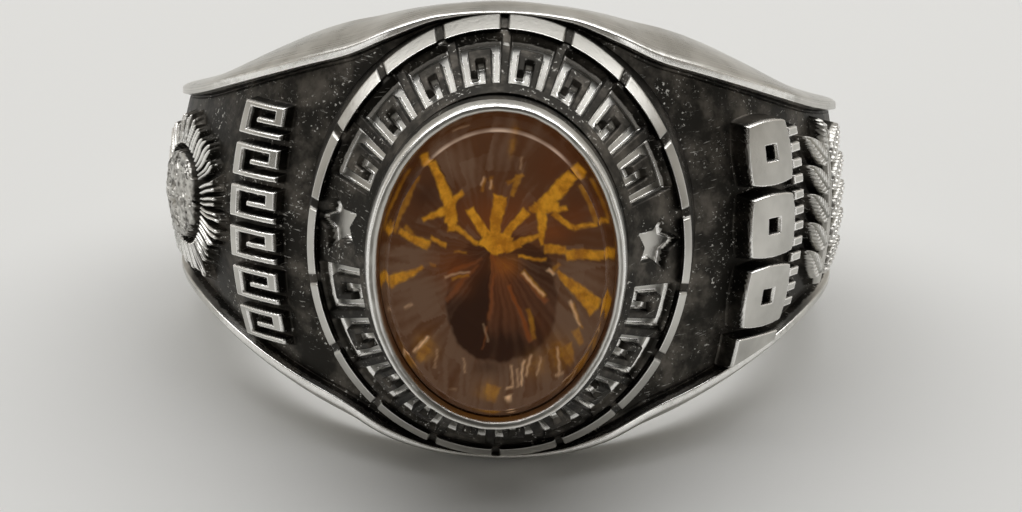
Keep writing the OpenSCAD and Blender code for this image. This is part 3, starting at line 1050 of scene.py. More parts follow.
@dataclass
class Head:
    """The head: steep outer wall, brick border, sloped channel with frets and stars, and the stone's seat.

    Attributes:
        sizes: The ring's sizes.
        cut: The stone's own sizes, which the seat follows.
        turns: Sections round the head.
        wall_from: How far above the finger hole the outer wall starts, and how far outside the border.
        brick_count: Bricks in the border.
        brick_gap: Width of the gap between two bricks.
        gap_depth: Depth of the gaps, as a share of the bricks' height.
        fret_h: Height of the raised frets.
        frets_above: Frets along the upper half.
        frets_below: Frets along the lower half.
        fret_at: Where a fret starts, as shares of its pitch and of the channel.
        fret_size: What a fret takes of its pitch and of the channel.
        channel_size: The channel's radius and width by which the frets' strokes are measured.
        star_r: Radius of the stars.
        star_notch: Radius of their notches, as a share of star_r.
        star_at: Share of the channel where their middle is.
        star_unit: Degrees round the head for a millimetre of a star, and its millimetres across the channel.
        right_star: Turn of the right star round the head, in degrees.
        left_star: Turn of the left star.
        left_out: How much nearer to the bricks the left star is, as a share of the channel.
        clear: From a star to the frets next to it, in degrees.
    """

    sizes: RingSizes
    cut: StoneCut
    turns: int = 1120
    wall_from: tuple[float, float] = (1.1, 0.25)
    brick_count: int = 18
    brick_gap: float = 0.28
    gap_depth: float = 0.9
    fret_h: float = 0.38
    frets_above: int = 8
    frets_below: int = 10
    fret_at: tuple[float, float] = (0.1, 0.17)
    fret_size: tuple[float, float] = (0.8, 0.74)
    channel_size: tuple[float, float] = (5.95, 2.62)
    star_r: float = 0.98
    star_notch: float = 0.54
    star_at: float = 0.54
    star_unit: tuple[float, float] = (8.4, 2.4)
    right_star: float = 3.5
    left_star: float = 172.8
    left_out: float = 0.07
    clear: float = 11.0

    def gap_share(self, t: Array) -> Array:
        """1 in the gaps between the bricks and 0 on the bricks.

        Args:
            t: Turns round the head, in radians.

        Returns:
            The shares.
        """
        pitch = 360.0 / self.brick_count
        off = np.abs((np.degrees(t) - 90.0 + pitch / 2) % pitch - pitch / 2)
        millimetre = degrees(1.0 / self.sizes.brick_out[0])
        return plateau(off / millimetre - self.brick_gap / 2, 0.06)

    def frets(self, t: Array, s: Array, count: int, start: float, stop: float) -> Array:
        """Distance outside a row of frets along the channel, and far outside before and after the row.

        Args:
            t: Turns round the head, in radians.
            s: Shares of the way across the channel.
            count: Frets in the row.
            start: Degrees where it starts.
            stop: Degrees where it ends.

        Returns:
            The distances in millimetres.
        """
        (x_from, y_from), (x_share, y_share) = self.fret_at, self.fret_size
        pitch = (stop - start) / count
        turn = (np.degrees(t) - start) / pitch
        x = (turn - np.floor(turn) - x_from) / x_share
        y = (s - y_from) / y_share
        along, across = radians(pitch * x_share) * self.channel_size[0], self.channel_size[1] * y_share
        distance = FRET.distance(x, y, along, across) - 0.01
        return np.where((turn >= 0) & (turn <= count), distance, FAR)

    def star(self, t: Array, s: Array, middle: float, out: float) -> Array:
        """Distance outside a five-pointed star.

        In polar coordinates folded to a tenth of a turn from a tip, the edge is the straight line from the
        tip's radius to the notch's.

        Args:
            t: Turns round the head, in radians.
            s: Shares of the way across the channel.
            middle: Degrees of its middle.
            out: How far it is moved out, as a share of the channel.

        Returns:
            The distances in millimetres.
        """
        x = ((np.degrees(t) - middle + 180) % 360 - 180) / self.star_unit[0]
        y = (s - self.star_at - out) * self.star_unit[1]
        r, notch = np.hypot(x, y), self.star_notch * self.star_r
        fold = radians(36.0)
        a = np.abs((np.arctan2(y, x) - pi / 2 + fold) % (2 * fold) - fold)
        notch_x, notch_y = notch * cos(fold), notch * sin(fold)
        edge = notch_y * self.star_r / (notch_y * np.cos(a) + (self.star_r - notch_x) * np.sin(a))
        return (r - edge) * 0.7

    def ornament(self, t: Array, s: Array) -> Array:
        """Distance outside the frets and the stars at each place of the channel.

        Args:
            t: Turns round the head, in radians.
            s: Shares of the way across the channel.

        Returns:
            The distances in millimetres.
        """
        right, left, clear = self.right_star, self.left_star, self.clear
        t = np.where(np.degrees(t) < right - clear + 0.5, t + 2 * pi, t)
        return np.minimum.reduce([
            self.frets(t, s, self.frets_above, right + clear + 2.0, left - clear),
            self.frets(t, s, self.frets_below, left + clear, 360.0 + right - clear),
            self.star(t, s, right, 0.0),
            self.star(t, s, left, self.left_out),
        ])

    def seat(self, t: Array) -> Array:
        """The hollow under the stone, from the bezel's foot down.

        Each ring is an oval at a depth, the last two the stone's own, grown for a little clearance.

        Args:
            t: Turns round the head, in radians.

        Returns:
            Three points for each turn.
        """
        z, cut = self.sizes, self.cut
        half = z.stone_w / 2, z.stone_l / 2
        middle = half[0] * cut.middle[0], half[1] * cut.middle[1]
        levels = [(z.lip, -0.10, 1.35), (half, -0.06, 1.42), (middle, 0.09, cut.middle_depth)]
        return np.stack([z.oval((a + grown, b + grown), t, depth) for (a, b), grown, depth in levels], axis=1)

    def border(self, t: Array, gap: Array, start: Array) -> Array:
        """The wall and the bricks, as profiles from the wall's foot to the start of the channel's ornament.

        Args:
            t: Turns round the head, in radians.
            gap: How deep each turn is cut for a gap between bricks.
            start: The last point of each profile.

        Returns:
            The points: 6 up the wall, 6 round the bricks' outer edge, 7 round their inner edge, 7 round the
            channel's foot, and the last.
        """
        z = self.sizes
        base_r, base_x = z.bore_r + self.wall_from[0], (z.brick_out[0] + self.wall_from[1]) * np.cos(t)
        base = join(base_x, -np.sqrt(base_r**2 - base_x**2), z.brick_out[1] * np.sin(t))
        outer = z.oval(z.brick_out, t, side_to_end(z.side_drop, z.head_rise, t) + gap)
        inner_depth = side_to_end(z.side_drop - z.brick_w, z.head_rise - z.brick_w * z.end_fall, t)
        inner = z.oval(z.brick_in, t, inner_depth + gap)
        corners = np.stack([base, outer, inner, z.channel(t, np.ones_like(t)), start], axis=1)
        rounded = soften(corners, (0.06, 0.05, 0.04), steps=6)
        return np.concatenate([along_line(rounded[:, :2], 5), rounded[:, 2:]], axis=1)

    def build(self, shop: Workshop, silver: bpy.types.Material) -> bpy.types.Object:
        """Builds the piece: profiles up the wall, over the border and the channel and down the seat.

        Args:
            shop: Where it is made.
            silver: Its finish.

        Returns:
            The piece.
        """
        z, t = self.sizes, circle(self.turns)
        gap, s = self.gap_share(t), np.linspace(0.97, -0.02, 56)
        border = self.border(t, gap * z.brick_h * self.gap_depth, z.channel(t, np.full_like(t, s[0])))
        distance = self.ornament(t[:, None], s[None, 1:])
        raised = plateau(distance, 0.09)
        channel = z.channel(t[:, None], np.broadcast_to(s[1:], raised.shape), self.fret_h * raised)
        points = np.concatenate([border, channel, self.seat(t)], axis=1)
        below = z.bore_r + self.wall_from[0] - 0.5
        tips = join(0.0, np.array([-below, self.cut.culet_depth + 0.1 - z.table_y]), 0.0)
        polish, wear_and_sheen, painted_shade = np.zeros((3, *points.shape[:2]))
        outer, inner, relief = 6, 12, slice(border.shape[1], border.shape[1] + channel.shape[1])
        on_brick = 1.0 - gap[:, None]
        polish[:, outer : inner + 6] = 0.30 + 0.60 * on_brick
        polish[:, relief] = 0.92 * smooth_step(0.45, 0.9, raised)
        # Brick and ornament edges: partly rubbed wear, partly a painted highlight.
        wear_and_sheen[:, outer + 1 : outer + 3] = 0.3 * on_brick
        wear_and_sheen[:, inner + 1 : inner + 4] = on_brick
        wear_and_sheen[:, relief] = worn_sheen_edge(distance) * raised
        # Painted shade: the bricks at the head's top end are dimmed to grey.
        painted_shade[:, outer : inner + 6] = smooth_step(0.62, 0.97, np.sin(t))[:, None]
        values = {"polish": polish, "wear_and_sheen": wear_and_sheen, "painted_shade": painted_shade}
        return shop.piece("head", capped(points, tips), values, silver)


@dataclass
class Bezel:
    """The rounded lip that holds the stone.

    Attributes:
        sizes: The ring's sizes.
        turns: Sections round it.
        sag: How far its front edge is pushed down.
        lean: How much wider its left side is.
        dents: How far it is out of true.
        shorter: How much shorter along the finger it is than in the solids.
        profile: Its section's corners, from the channel's foot over the lip to below the stone: how far out,
            as a share of the lip, and how deep.
        rounding: How far from each inner corner, but for the last, its rounding reaches.
    """

    sizes: RingSizes
    turns: int = 400
    sag: float = 0.16
    lean: float = 0.09
    dents: float = 0.014
    shorter: float = 0.04
    profile: tuple[tuple[float, float], ...] = (
        (1.1, 1.4), (1.04, 0.50), (0.84, 0.02), (0.50, -0.03), (0.16, 0.06), (0.0, 0.34), (0.0, 0.50),
        (0.50, 0.76), (0.50, 1.4))
    rounding: tuple[float, ...] = (0.28, 0.20, 0.20, 0.16, 0.06, 0.05)

    def level(self, t: Array, out: float, depth: float) -> Array:
        """One corner of the profile all round the oval, out of true and pushed down in front.

        Args:
            t: Turns round the head, in radians.
            out: How far out of the opening it is, as a share of the lip.
            depth: Its depth behind the bezel's top.

        Returns:
            The points.
        """
        z = self.sizes
        (lip_x, lip_z), (open_x, open_z) = z.lip, z.opening
        lip_z, open_z = lip_z - self.shorter, open_z - self.shorter
        uneven = 0.5 * np.sin(5 * t + 1) + 0.3 * np.sin(11 * t)
        uneven = uneven + 0.3 * np.sin(23 * t + 2) + 0.2 * np.sin(41 * t)
        front = max(0.0, 1.0 - depth / 0.7)
        wide = self.dents * front * uneven + self.lean * out * np.maximum(0.0, -np.cos(t))
        axes = (open_x + (lip_x - open_x) * out + wide, open_z + (lip_z - open_z) * out + wide)
        corner = z.oval(axes, t, depth + self.dents * front * np.roll(uneven, 31))
        return corner - np.array([0.0, 0.0, self.sag * front])

    def build(self, shop: Workshop, silver: bpy.types.Material) -> bpy.types.Object:
        """Builds the piece: the rounded profile between the channel's foot and the opening, carried round.

        Args:
            shop: Where it is made.
            silver: Its finish.

        Returns:
            The piece.
        """
        t = circle(self.turns)
        corners = np.stack([self.level(t, *corner) for corner in self.profile], axis=1)
        points = np.concatenate([soften(corners[:, :-1], self.rounding, steps=7), corners[:, -1:]], axis=1)
        place = np.arange(points.shape[1], dtype=float)
        polish = 0.15 + 0.72 * smooth_step(4.0, 8.0, place) * smooth_step(38.0, 33.0, place)
        # Two near-white rings round the bezel: partly rubbed wear, partly a painted highlight.
        wear_and_sheen = np.maximum(bell(place - 13.0, 4.0), 0.4 * bell(place - 29.0, 3.0))
        polish, wear_and_sheen, _ = np.broadcast_arrays(polish, wear_and_sheen, points[..., 0])
        return shop.piece("bezel", hoop(points), {"polish": polish, "wear_and_sheen": wear_and_sheen}, silver)


@dataclass
class Shoulder:
    """The raised work on one shoulder's panel, as a sheet that dips under the floor at its edges.

    Attributes:
        sizes: The ring's sizes.
        side: Which shoulder it is.
        height: Height of the ornament.
        columns: Points across the sheet.
        lift: How far the sheet is above the panel's floor.
        dip: How far its edges are pushed down.
        back: How far below it its back is.
        mean_r: Radius by which the strokes' lengths along the band are measured.
    """

    sizes: RingSizes
    side: Side
    height: float = 0.5
    columns: int = 310
    lift: float = 0.012
    dip: float = 0.10
    back: float = 0.35
    mean_r: float = 11.9

    def half_at(self, phi: float, less: float = 0.0) -> float:
        """Half of the distance between the rails at degrees from the head, less a margin."""
        return float(self.sizes.inner_half(np.array(phi))) - less

    def grid(self) -> tuple[Array, Array]:
        """Degrees from the head and heights along the finger of the sheet's points."""
        phi = self.spacing() * self.side.value
        z = np.linspace(-1.0, 1.0, self.columns)[None] * (self.sizes.floor_half(phi) - 0.03)[:, None]
        return np.broadcast_to(phi[:, None], z.shape), z

    def spacing(self) -> Array:
        """Degrees from the head of the sheet's rows, closest where the ornament is finest."""
        raise NotImplementedError

    def relief(self, phi: Array, z: Array) -> tuple[Array, Array, Array]:
        """Heights of the ornament in millimetres, and its polish and its worn edges with their painted
        highlight, from 0 to 1.
        """
        raise NotImplementedError

    def build(self, shop: Workshop, silver: bpy.types.Material) -> bpy.types.Object:
        """Builds the piece: the panel floor raised by the ornament's height, less the dip at the edges.

        Args:
            shop: Where it is made.
            silver: Its finish.

        Returns:
            The piece.
        """
        phi, z = self.grid()
        height, polish, wear_and_sheen = self.relief(np.abs(phi), z)
        across = np.abs(np.linspace(-1.0, 1.0, phi.shape[1]))[None]
        along = np.abs(np.linspace(-1.0, 1.0, phi.shape[0]))[:, None]
        dip = np.maximum(smooth_step(0.985, 1.0, across), smooth_step(0.99, 1.0, along)) * self.dip
        points = around(phi, self.sizes.panel_r(phi, z) + self.lift + height - dip, z)
        name, shell = f"{self.side.name.lower()}_shoulder", patch(points, -around(phi[:, 0], self.back, 0.0))
        return shop.piece(name, shell, {"polish": polish, "wear_and_sheen": wear_and_sheen}, silver)


@dataclass
class LeftShoulder(Shoulder):
    """A column of frets and a sunburst round an oval boss.

    Attributes:
        frets: Frets in the column.
        fret_at: Where a fret starts, as a share of its pitch.
        fret_share: What it takes of its pitch.
        column_from: Degrees from the head where the column starts.
        column_to: Degrees where it ends.
        burst_at: Degrees of the sunburst's middle.
        lower: How far the column and the sunburst are below the middle of the band.
        rays: Rays of the sunburst.
        strands: Fine lines in each ray.
        long: Half of the sunburst's length along the band.
        boss: Share of the sunburst that its boss takes.
    """

    frets: int = 6
    fret_at: float = 0.1
    fret_share: float = 0.8
    column_from: float = 40.0
    column_to: float = 51.0
    burst_at: float = 73.0
    lower: tuple[float, float] = (0.2, 0.15)
    rays: int = 30
    strands: int = 2
    long: float = 3.7
    boss: float = 0.57

    def spacing(self) -> Array:
        """Closest over the column and the sunburst."""
        return graded((21.0, 39.0, 52.0, 57.0, 92.0, 107.0), (18, 88, 10, 168, 16))

    def relief(self, phi: Array, z: Array) -> tuple[Array, Array, Array]:
        """The column and the sunburst.

        Args:
            phi: Degrees from the head.
            z: Places along the finger in millimetres.

        Returns:
            Heights in millimetres, and the polish and the worn edges with their painted highlight, from 0 to
            1.
        """
        distance = self.column(phi, z)
        column = plateau(distance, 0.10)
        rays, boss = self.burst(phi, z)
        height = np.maximum.reduce([column * self.height, rays * self.height * 0.85, boss * self.height])
        polish = np.maximum.reduce([smooth_step(0.5, 0.95, column), smooth_step(0.62, 1.0, rays),
                                    0.55 * smooth_step(0.45, 1.0, boss)])
        # Worn edges and ray tops: partly rubbed wear, partly a painted highlight.
        wear_and_sheen = np.maximum(worn_sheen_edge(distance) * column, smooth_step(0.80, 1.0, rays))
        return height, polish, wear_and_sheen

    def column(self, phi: Array, z: Array) -> Array:
        """Distance outside the column of frets.

        Args:
            phi: Degrees from the head.
            z: Places along the finger in millimetres.

        Returns:
            The distances in millimetres.
        """
        half = self.half_at(self.column_from, less=1.0)
        pitch = 2 * half / self.frets
        up = z + self.lower[0] + half
        k = np.clip(np.floor(up / pitch), 0, self.frets - 1)
        x = (up / pitch - k - self.fret_at) / self.fret_share
        y = (phi - self.column_from) / (self.column_to - self.column_from)
        across = radians(self.column_to - self.column_from) * self.mean_r
        return TALL_FRET.distance(x, y, pitch * self.fret_share, across)

    def burst(self, phi: Array, z: Array) -> tuple[Array, Array]:
        """Heights of the rays and of the boss as shares of the panel's relief.

        With the place in polar coordinates on the burst's oval, a ray is a fan of thin wavy strands, each as
        high as a half wave over its width. The rays' widths and lengths are uneven. The boss is a low crown
        with an even rim, shallow ripples, a few marks and small pits.

        Args:
            phi: Degrees from the head.
            z: Places along the finger in millimetres.

        Returns:
            The rays' and the boss's heights.
        """
        x = np.radians(phi - self.burst_at) * self.sizes.rail_top(np.array(self.burst_at)) / self.long
        y = -(z + self.lower[1]) / self.half_at(self.burst_at, less=0.4)
        rho, angle = np.hypot(x, y), np.arctan2(y, x)
        wave = 0.030 * np.sin(6.0 * rho + 3.0 * angle) + 0.012 * np.sin(17.0 * rho + 7.0 * angle)
        turn = -(angle + wave) / (2 * pi) * self.rays
        uneven = scatter(np.floor(turn) % self.rays)
        turn = turn % 1.0
        width = (0.62 + 0.34 * uneven) * (1 - 0.22 * np.clip((rho - self.boss) / (1 - self.boss), 0, 1))
        strands = np.abs(np.sin(self.strands * pi * np.clip(turn / width, 0.0, 1.0))) ** 0.7 * (turn < width)
        length = 0.92 + 0.05 * np.sin(7 * angle) + 0.03 * np.sin(19 * angle + 1.0) + 0.08 * (uneven - 0.5)
        ends = smooth_step(self.boss - 0.06, self.boss + 0.03, rho)
        ends = ends * (1 - smooth_step(length - 0.05, length + 0.03, rho))
        return (0.42 + 0.58 * strands) * (turn < width) * ends, self._boss(x, y, rho)

    def _boss(self, x: Array, y: Array, rho: Array) -> Array:
        """The boss's height at places on the burst's oval and at their distances from its middle.

        Args:
            x: Places along the burst, as shares of its half-axis.
            y: Places across it, in the same way.
            rho: Distances from its middle.

        Returns:
            The heights.
        """
        face = 1.0 - smooth_step(self.boss - 0.09, self.boss - 0.03, rho)
        marks = np.exp(-(((np.abs(y) - 0.10) / 0.035) ** 2 + ((x - 0.10) / 0.10) ** 2))
        marks = marks + np.exp(-(((y + 0.02) / 0.05) ** 2 + ((x + 0.13) / 0.05) ** 2))
        ripple = 0.06 * np.sin(31.0 * x + 5.0 * np.sin(9.0 * y)) * np.sin(27.0 * y + 4.0 * np.sin(11.0 * x))
        rough = np.sin(47.0 * x + 3.0 * np.sin(19.0 * y)) * np.sin(39.0 * y + 2.0 * np.sin(23.0 * x))
        crown = 0.95 + 0.30 * np.clip(1 - (rho / self.boss) ** 2, 0, 1)
        return face * (crown + ripple - 0.45 * np.clip(marks, 0, 1) - 0.40 * smooth_step(0.45, 0.75, rough))


@dataclass
class RightShoulder(Shoulder):
    """A column of pierced blocks, a ribbon of short bars and a leafy spray.

    Attributes:
        block_h: Height of the blocks.
        block_count: Whole blocks in the column. One more is cut short by the rail.
        blocks_from: Degrees from the head where the blocks start.
        blocks_to: Degrees where they end.
        block_share: What a block takes of its pitch.
        bow: How strongly the blocks' outlines are rounded.
        hole: Half of a block's hole, as shares of the block along the band and along the finger.
        ribbon_from: Degrees where the ribbon starts.
        ribbon_to: Degrees where it ends.
        bars: Bars in the ribbon.
        spray_at: Degrees of the spray's stem.
        leaf_pairs: Pairs of leaves on it.
    """

    mean_r: float = 12.1
    block_h: float = 0.8
    block_count: int = 3
    blocks_from: float = 44.0
    blocks_to: float = 55.5
    block_share: float = 0.9
    bow: float = 0.4
    hole: tuple[float, float] = (0.12, 0.11)
    ribbon_from: float = 58.5
    ribbon_to: float = 61.8
    bars: int = 12
    spray_at: float = 73.0
    leaf_pairs: int = 5

    def spacing(self) -> Array:
        """Closest over the blocks, the ribbon and the spray."""
        return graded((21.0, 43.0, 56.5, 62.0, 92.0, 107.0), (18, 98, 42, 126, 16))

    def relief(self, phi: Array, z: Array) -> tuple[Array, Array, Array]:
        """The blocks, the ribbon and the spray.

        Args:
            phi: Degrees from the head.
            z: Places along the finger in millimetres.

        Returns:
            Heights in millimetres, and the polish and the worn edges with their painted highlight, from 0 to
            1.
        """
        by_blocks, by_ribbon = self.blocks(phi, z), self.ribbon(phi, z)
        blocks, ribbon, spray = plateau(by_blocks, 0.13), plateau(by_ribbon, 0.09), self.spray(phi, z)
        height = np.maximum.reduce([blocks * self.block_h, ribbon * self.height * 0.8, spray * self.height])
        polish = np.maximum.reduce([smooth_step(0.7, 0.98, blocks), smooth_step(0.5, 0.95, ribbon),
                                    smooth_step(0.35, 0.9, spray)])
        # Worn edges of blocks, bars and leaves: partly rubbed wear, partly a painted highlight.
        wear_and_sheen = np.maximum.reduce([worn_sheen_edge(by_blocks) * blocks, worn_sheen_edge(by_ribbon) * ribbon,
                                  0.6 * smooth_step(0.95, 1.1, spray)])
        return height, polish, wear_and_sheen

    def blocks(self, phi: Array, z: Array) -> Array:
        """Distance outside the blocks, which are pierced squares drawn in to rounded outlines.

        A square's place (s, t) is shown at s (1 - bow t^2) and t (1 - bow s^2). A few rounds of dividing by
        those factors find s and t. The lowest block fills what is left above the rail.

        Args:
            phi: Degrees from the head.
            z: Places along the finger in millimetres.

        Returns:
            The distances in millimetres.
        """
        top, low = self.half_at(self.blocks_from, less=1.2), self.half_at(self.blocks_to)
        pitch = (top + low - 0.7) / self.block_count
        down = (top - z) / pitch
        k = np.clip(np.floor(down), 0, self.block_count - 1)
        shown_s = (phi - self.blocks_from) / (self.blocks_to - self.blocks_from) - 0.5
        shown_t = (k + 0.5 - down) / self.block_share
        s, t = shown_s, shown_t
        for _ in range(6):
            s = shown_s / (1 - self.bow * np.clip(t, -0.55, 0.55) ** 2)
            t = shown_t / (1 - self.bow * np.clip(s, -0.55, 0.55) ** 2)
        long, tall = radians(self.blocks_to - self.blocks_from) * self.mean_r, pitch * self.block_share
        outline = np.maximum((np.abs(s) - 0.5) * long, (np.abs(t) - 0.5) * tall)
        hole = np.maximum((np.abs(s) - self.hole[0]) * long, (np.abs(t) - self.hole[1]) * tall)
        floor, high = 0.12 - self.sizes.inner_half(phi), top - pitch * (self.block_count + 0.05)
        cut_short = np.maximum.reduce([(np.abs(shown_s) - 0.5) * long, floor - z, z - high])
        return np.minimum(np.maximum(outline, -hole) - 0.02, cut_short)

    def ribbon(self, phi: Array, z: Array) -> Array:
        """Distance outside the short bars.

        Args:
            phi: Degrees from the head.
            z: Places along the finger in millimetres.

        Returns:
            The distances in millimetres.
        """
        half = self.half_at(self.ribbon_to, less=0.7)
        pitch = 2 * half / self.bars
        k = np.clip(np.floor((z + half) / pitch), 0, self.bars - 1)
        up = np.abs((z + half) / pitch - k - 0.5) - 0.32
        middle = (self.ribbon_from + self.ribbon_to) / 2
        along = np.abs(phi - middle) - (self.ribbon_to - self.ribbon_from) / 2
        return np.maximum(up * pitch, np.radians(along) * self.mean_r)

    def spray(self, phi: Array, z: Array) -> Array:
        """Heights of the stem and the leaves, with a groove along each leaf's middle and fine veins.

        A leaf is x and z of its middle, its length and width, and its turn in degrees.

        Args:
            phi: Degrees from the head.
            z: Places along the finger in millimetres.

        Returns:
            The heights as shares of the ornament's.
        """
        tall = self.half_at(self.spray_at, less=0.4)
        x = np.radians(phi - self.spray_at) * float(self.sizes.rail_top(np.array(self.spray_at)))
        best = plateau(np.maximum(np.abs(x) - 0.13, np.abs(z + 0.05 * tall) - 0.9 * tall), 0.12)
        step = 2 * tall / (self.leaf_pairs + 1)
        leaves = [(s * 0.95, -tall + step * (k + 1.1), 1.9, 0.8, 90.0 - s * 52.0)
                  for k in range(self.leaf_pairs) for s in (-1, 1)]
        for leaf_x, leaf_z, long, wide, turn in [*leaves, (0.0, tall - 0.5, 1.2, 0.6, 90.0)]:
            u, v = turned(x - leaf_x, z - leaf_z, -turn)
            share = 2 * u / long
            width = wide / 2 * (1 - 0.35 * np.clip(share, -1, 1)) * np.sqrt(np.clip(1 - share**2, 0, 1))
            body = smooth_step(0.0, 0.10, width - np.abs(v))
            rib = 1 - 0.35 * bell(v, 0.05)
            veins = 1 - 0.10 * (np.sin(26.0 * (u - np.abs(v))) > 0.35)
            best = np.maximum(best, body * rib * veins * 1.1)
        return best


@dataclass(frozen=True)
class Fire:
    """The light in the stone, painted as a few tapered strokes and soft areas on its table.

    A stroke is x and z of its two ends and its widths there, in millimetres from the table's middle, and its
    strength from 0 to 1.

    Attributes:
        centre: Where the strokes meet, over the culet.
        disc: Middle and half-axes of the dark oval of painted shade under it.
        edge: Half-axes of the table as the pavilion is seen through it.
        shift: How far to the right and up the table a place is seen for each millimetre that it lies deeper.
        streaks: Amber strokes of painted reflection.
        glints: Small pale ones, painted highlights.
        embers: Red ones in the dark oval, painted red reflections.
        patches: Soft spots: middle, half-axes and what they add to haze, deep, ember and flash.
    """

    centre: tuple[float, float] = (-0.22, 0.47)
    disc: tuple[float, float, float, float] = (0.16, -1.14, 1.97, 2.33)
    edge: tuple[float, float] = (3.67, 4.77)
    shift: tuple[float, float] = (0.013, 0.150)
    streaks: Strokes = (
        (-2.25, 3.43, -1.62, 2.03, 0.27, 0.37, 1), (-1.62, 2.03, -1.22, 2.44, 0.27, 0.15, 1),
        (-1.72, 1.86, -2.52, 1.45, 0.3, 0.13, 1), (-1.62, 1.86, -1.55, 1.11, 0.37, 0.23, 1),
        (-1.82, 1.89, -1.48, 1.86, 0.43, 0.43, 1), (-0.95, 1.89, -0.42, 1.01, 0.3, 0.33, 1),
        (0.05, 2.37, -0.12, 1.01, 0.47, 0.33, 1), (0.95, 1.86, 0.25, 1.01, 0.3, 0.27, 1),
        (-0.05, 1.11, -0.05, 0.66, 0.83, 1.2, 1), (-0.05, 0.68, -0.09, 0.32, 1.13, 0.2, 1),
        (-0.52, 0.77, 0.48, 0.7, 0.3, 0.43, 1), (-1.64, 2.15, -1.60, 1.42, 0.40, 0.44, 1),
        (1.25, 1.95, 2.05, 2.02, 0.50, 0.30, 1),
        (2.48, 3.15, 1.35, 1.86, 0.43, 0.53, 1), (1.45, 1.79, 1.52, 0.7, 0.37, 0.1, 1),
        (0.25, 0.53, 0.75, 0.73, 0.27, 0.27, 1), (-1.48, 1.24, -0.65, 0.7, 0.17, 0.15, 0.82),
        (1.45, 1.07, 0.48, 0.66, 0.13, 0.27, 0.82), (1.42, 1.93, 1.02, 1.93, 0.3, 0.13, 0.82),
        (1.85, 1.79, 2.55, 1.31, 0.2, 0.17, 0.82), (2.55, 1.31, 3.35, 1.48, 0.17, 0.1, 0.82),
        (1.82, 1.86, 2.32, 2.03, 0.27, 0.13, 0.82), (1.58, 0.56, 2.32, 0.56, 0.33, 0.27, 0.82),
        (2.32, 0.39, 3.62, 0.43, 0.37, 0.3, 0.82), (0.72, 0.29, 1.62, 0.19, 0.1, 0.1, 0.82),
        (-3.32, 1.04, -2.32, 0.56, 0.2, 0.33, 0.82), (-2.25, 0.84, -1.75, 0.63, 0.13, 0.17, 0.82),
        (-3.62, -0.73, -2.48, -0.15, 0.47, 0.07, 0.82), (2.05, -0.19, 3.38, -1.41, 0.13, 0.7, 0.82),
        (-2.72, 2.98, -3.55, 1.01, 0.17, 0.23, 0.42), (2.78, 2.78, 3.35, 1.52, 0.23, 0.2, 0.42),
        (-0.45, 2.95, -0.58, 2.51, 0.1, 0.1, 0.42), (-0.25, 2.98, -0.22, 2.57, 0.1, 0.1, 0.42),
        (0.65, 3.05, 0.48, 2.37, 0.23, 0.13, 0.42), (0.28, 2.81, 0.78, 3.08, 0.13, 0.13, 0.42),
        (0.88, -0.22, 1.62, -1.07, 0.2, 0.13, 0.42), (2.28, -2.74, 2.65, -3.43, 0.6, 0.27, 0.42),
        (-2.35, -2.88, -2.62, -3.53, 0.43, 0.27, 0.42), (-0.02, -4.18, -0.12, -4.79, 0.5, 0.33, 0.42),
        (-1.52, -0.56, -0.92, -0.39, 0.1, 0.07, 0.42), (-1.48, 0.39, -1.05, 0.36, 0.07, 0.07, 0.42),
        (-2.25, -0.09, -2.05, -0.09, 0.1, 0.1, 0.42), (2.52, -1.28, 2.92, -2.13, 0.13, 0.05, 0.42),
        (2.68, -2.2, 2.88, -2.71, 0.3, 0.17, 0.42), (-3.12, 1.21, -2.85, 1.01, 0.2, 0.13, 0.42),
        (2.08, 0.09, 1.85, -0.26, 0.13, 0.13, 0.42), (1.08, -1.52, 1.32, -2.54, 0.17, 0.13, 0.42),
    )
    glints: Strokes = (
        (-2.78, -3.08, -2.25, -2.57, 0.08, 0.08, 0.9), (2.45, -1.18, 2.85, -2.06, 0.08, 0.05, 0.6),
        (0.88, -0.29, 1.58, -1.04, 0.1, 0.07, 0.55), (0.58, -3.49, 0.58, -4.18, 0.06, 0.06, 0.5),
        (0.78, -3.63, 0.75, -4.24, 0.05, 0.05, 0.45), (0.98, -3.29, 0.88, -4.18, 0.06, 0.07, 0.7),
        (1.18, -3.08, 1.08, -3.83, 0.06, 0.06, 0.5), (1.52, -3.15, 1.45, -3.77, 0.05, 0.05, 0.4),
        (2.12, -2.81, 2.15, -3.83, 0.06, 0.06, 0.5), (2.32, -3.63, 2.05, -3.8, 0.08, 0.07, 0.5),
        (0.48, -4.52, 0.55, -4.86, 0.23, 0.1, 1), (0.38, -4.24, 0.62, -4.24, 0.07, 0.07, 0.6),
        (-0.62, -4.82, -0.58, -4.89, 0.1, 0.1, 0.5), (-1.72, -4.35, -1.32, -4.38, 0.07, 0.07, 0.35),
        (-1.08, -3.29, -1.02, -3.77, 0.05, 0.05, 0.35), (-1.98, -2.95, -2.02, -3.63, 0.05, 0.05, 0.3),
        (1.72, -0.15, 1.95, -0.32, 0.1, 0.07, 0.6), (-1.75, -0.46, -0.92, -0.29, 0.07, 0.05, 0.4),
        (-0.42, -2.1, -0.28, -2.71, 0.04, 0.04, 0.3), (-3.12, -1.58, -2.85, -1.41, 0.07, 0.07, 0.35),
        (-0.58, 2.71, -0.48, 2.98, 0.05, 0.05, 0.5), (-0.22, 2.85, -0.28, 2.57, 0.05, 0.05, 0.5),
        (0.78, 3.66, 0.72, 3.25, 0.05, 0.05, 0.25), (-1.38, 4.21, -0.92, 4.41, 0.05, 0.05, 0.3),
    )
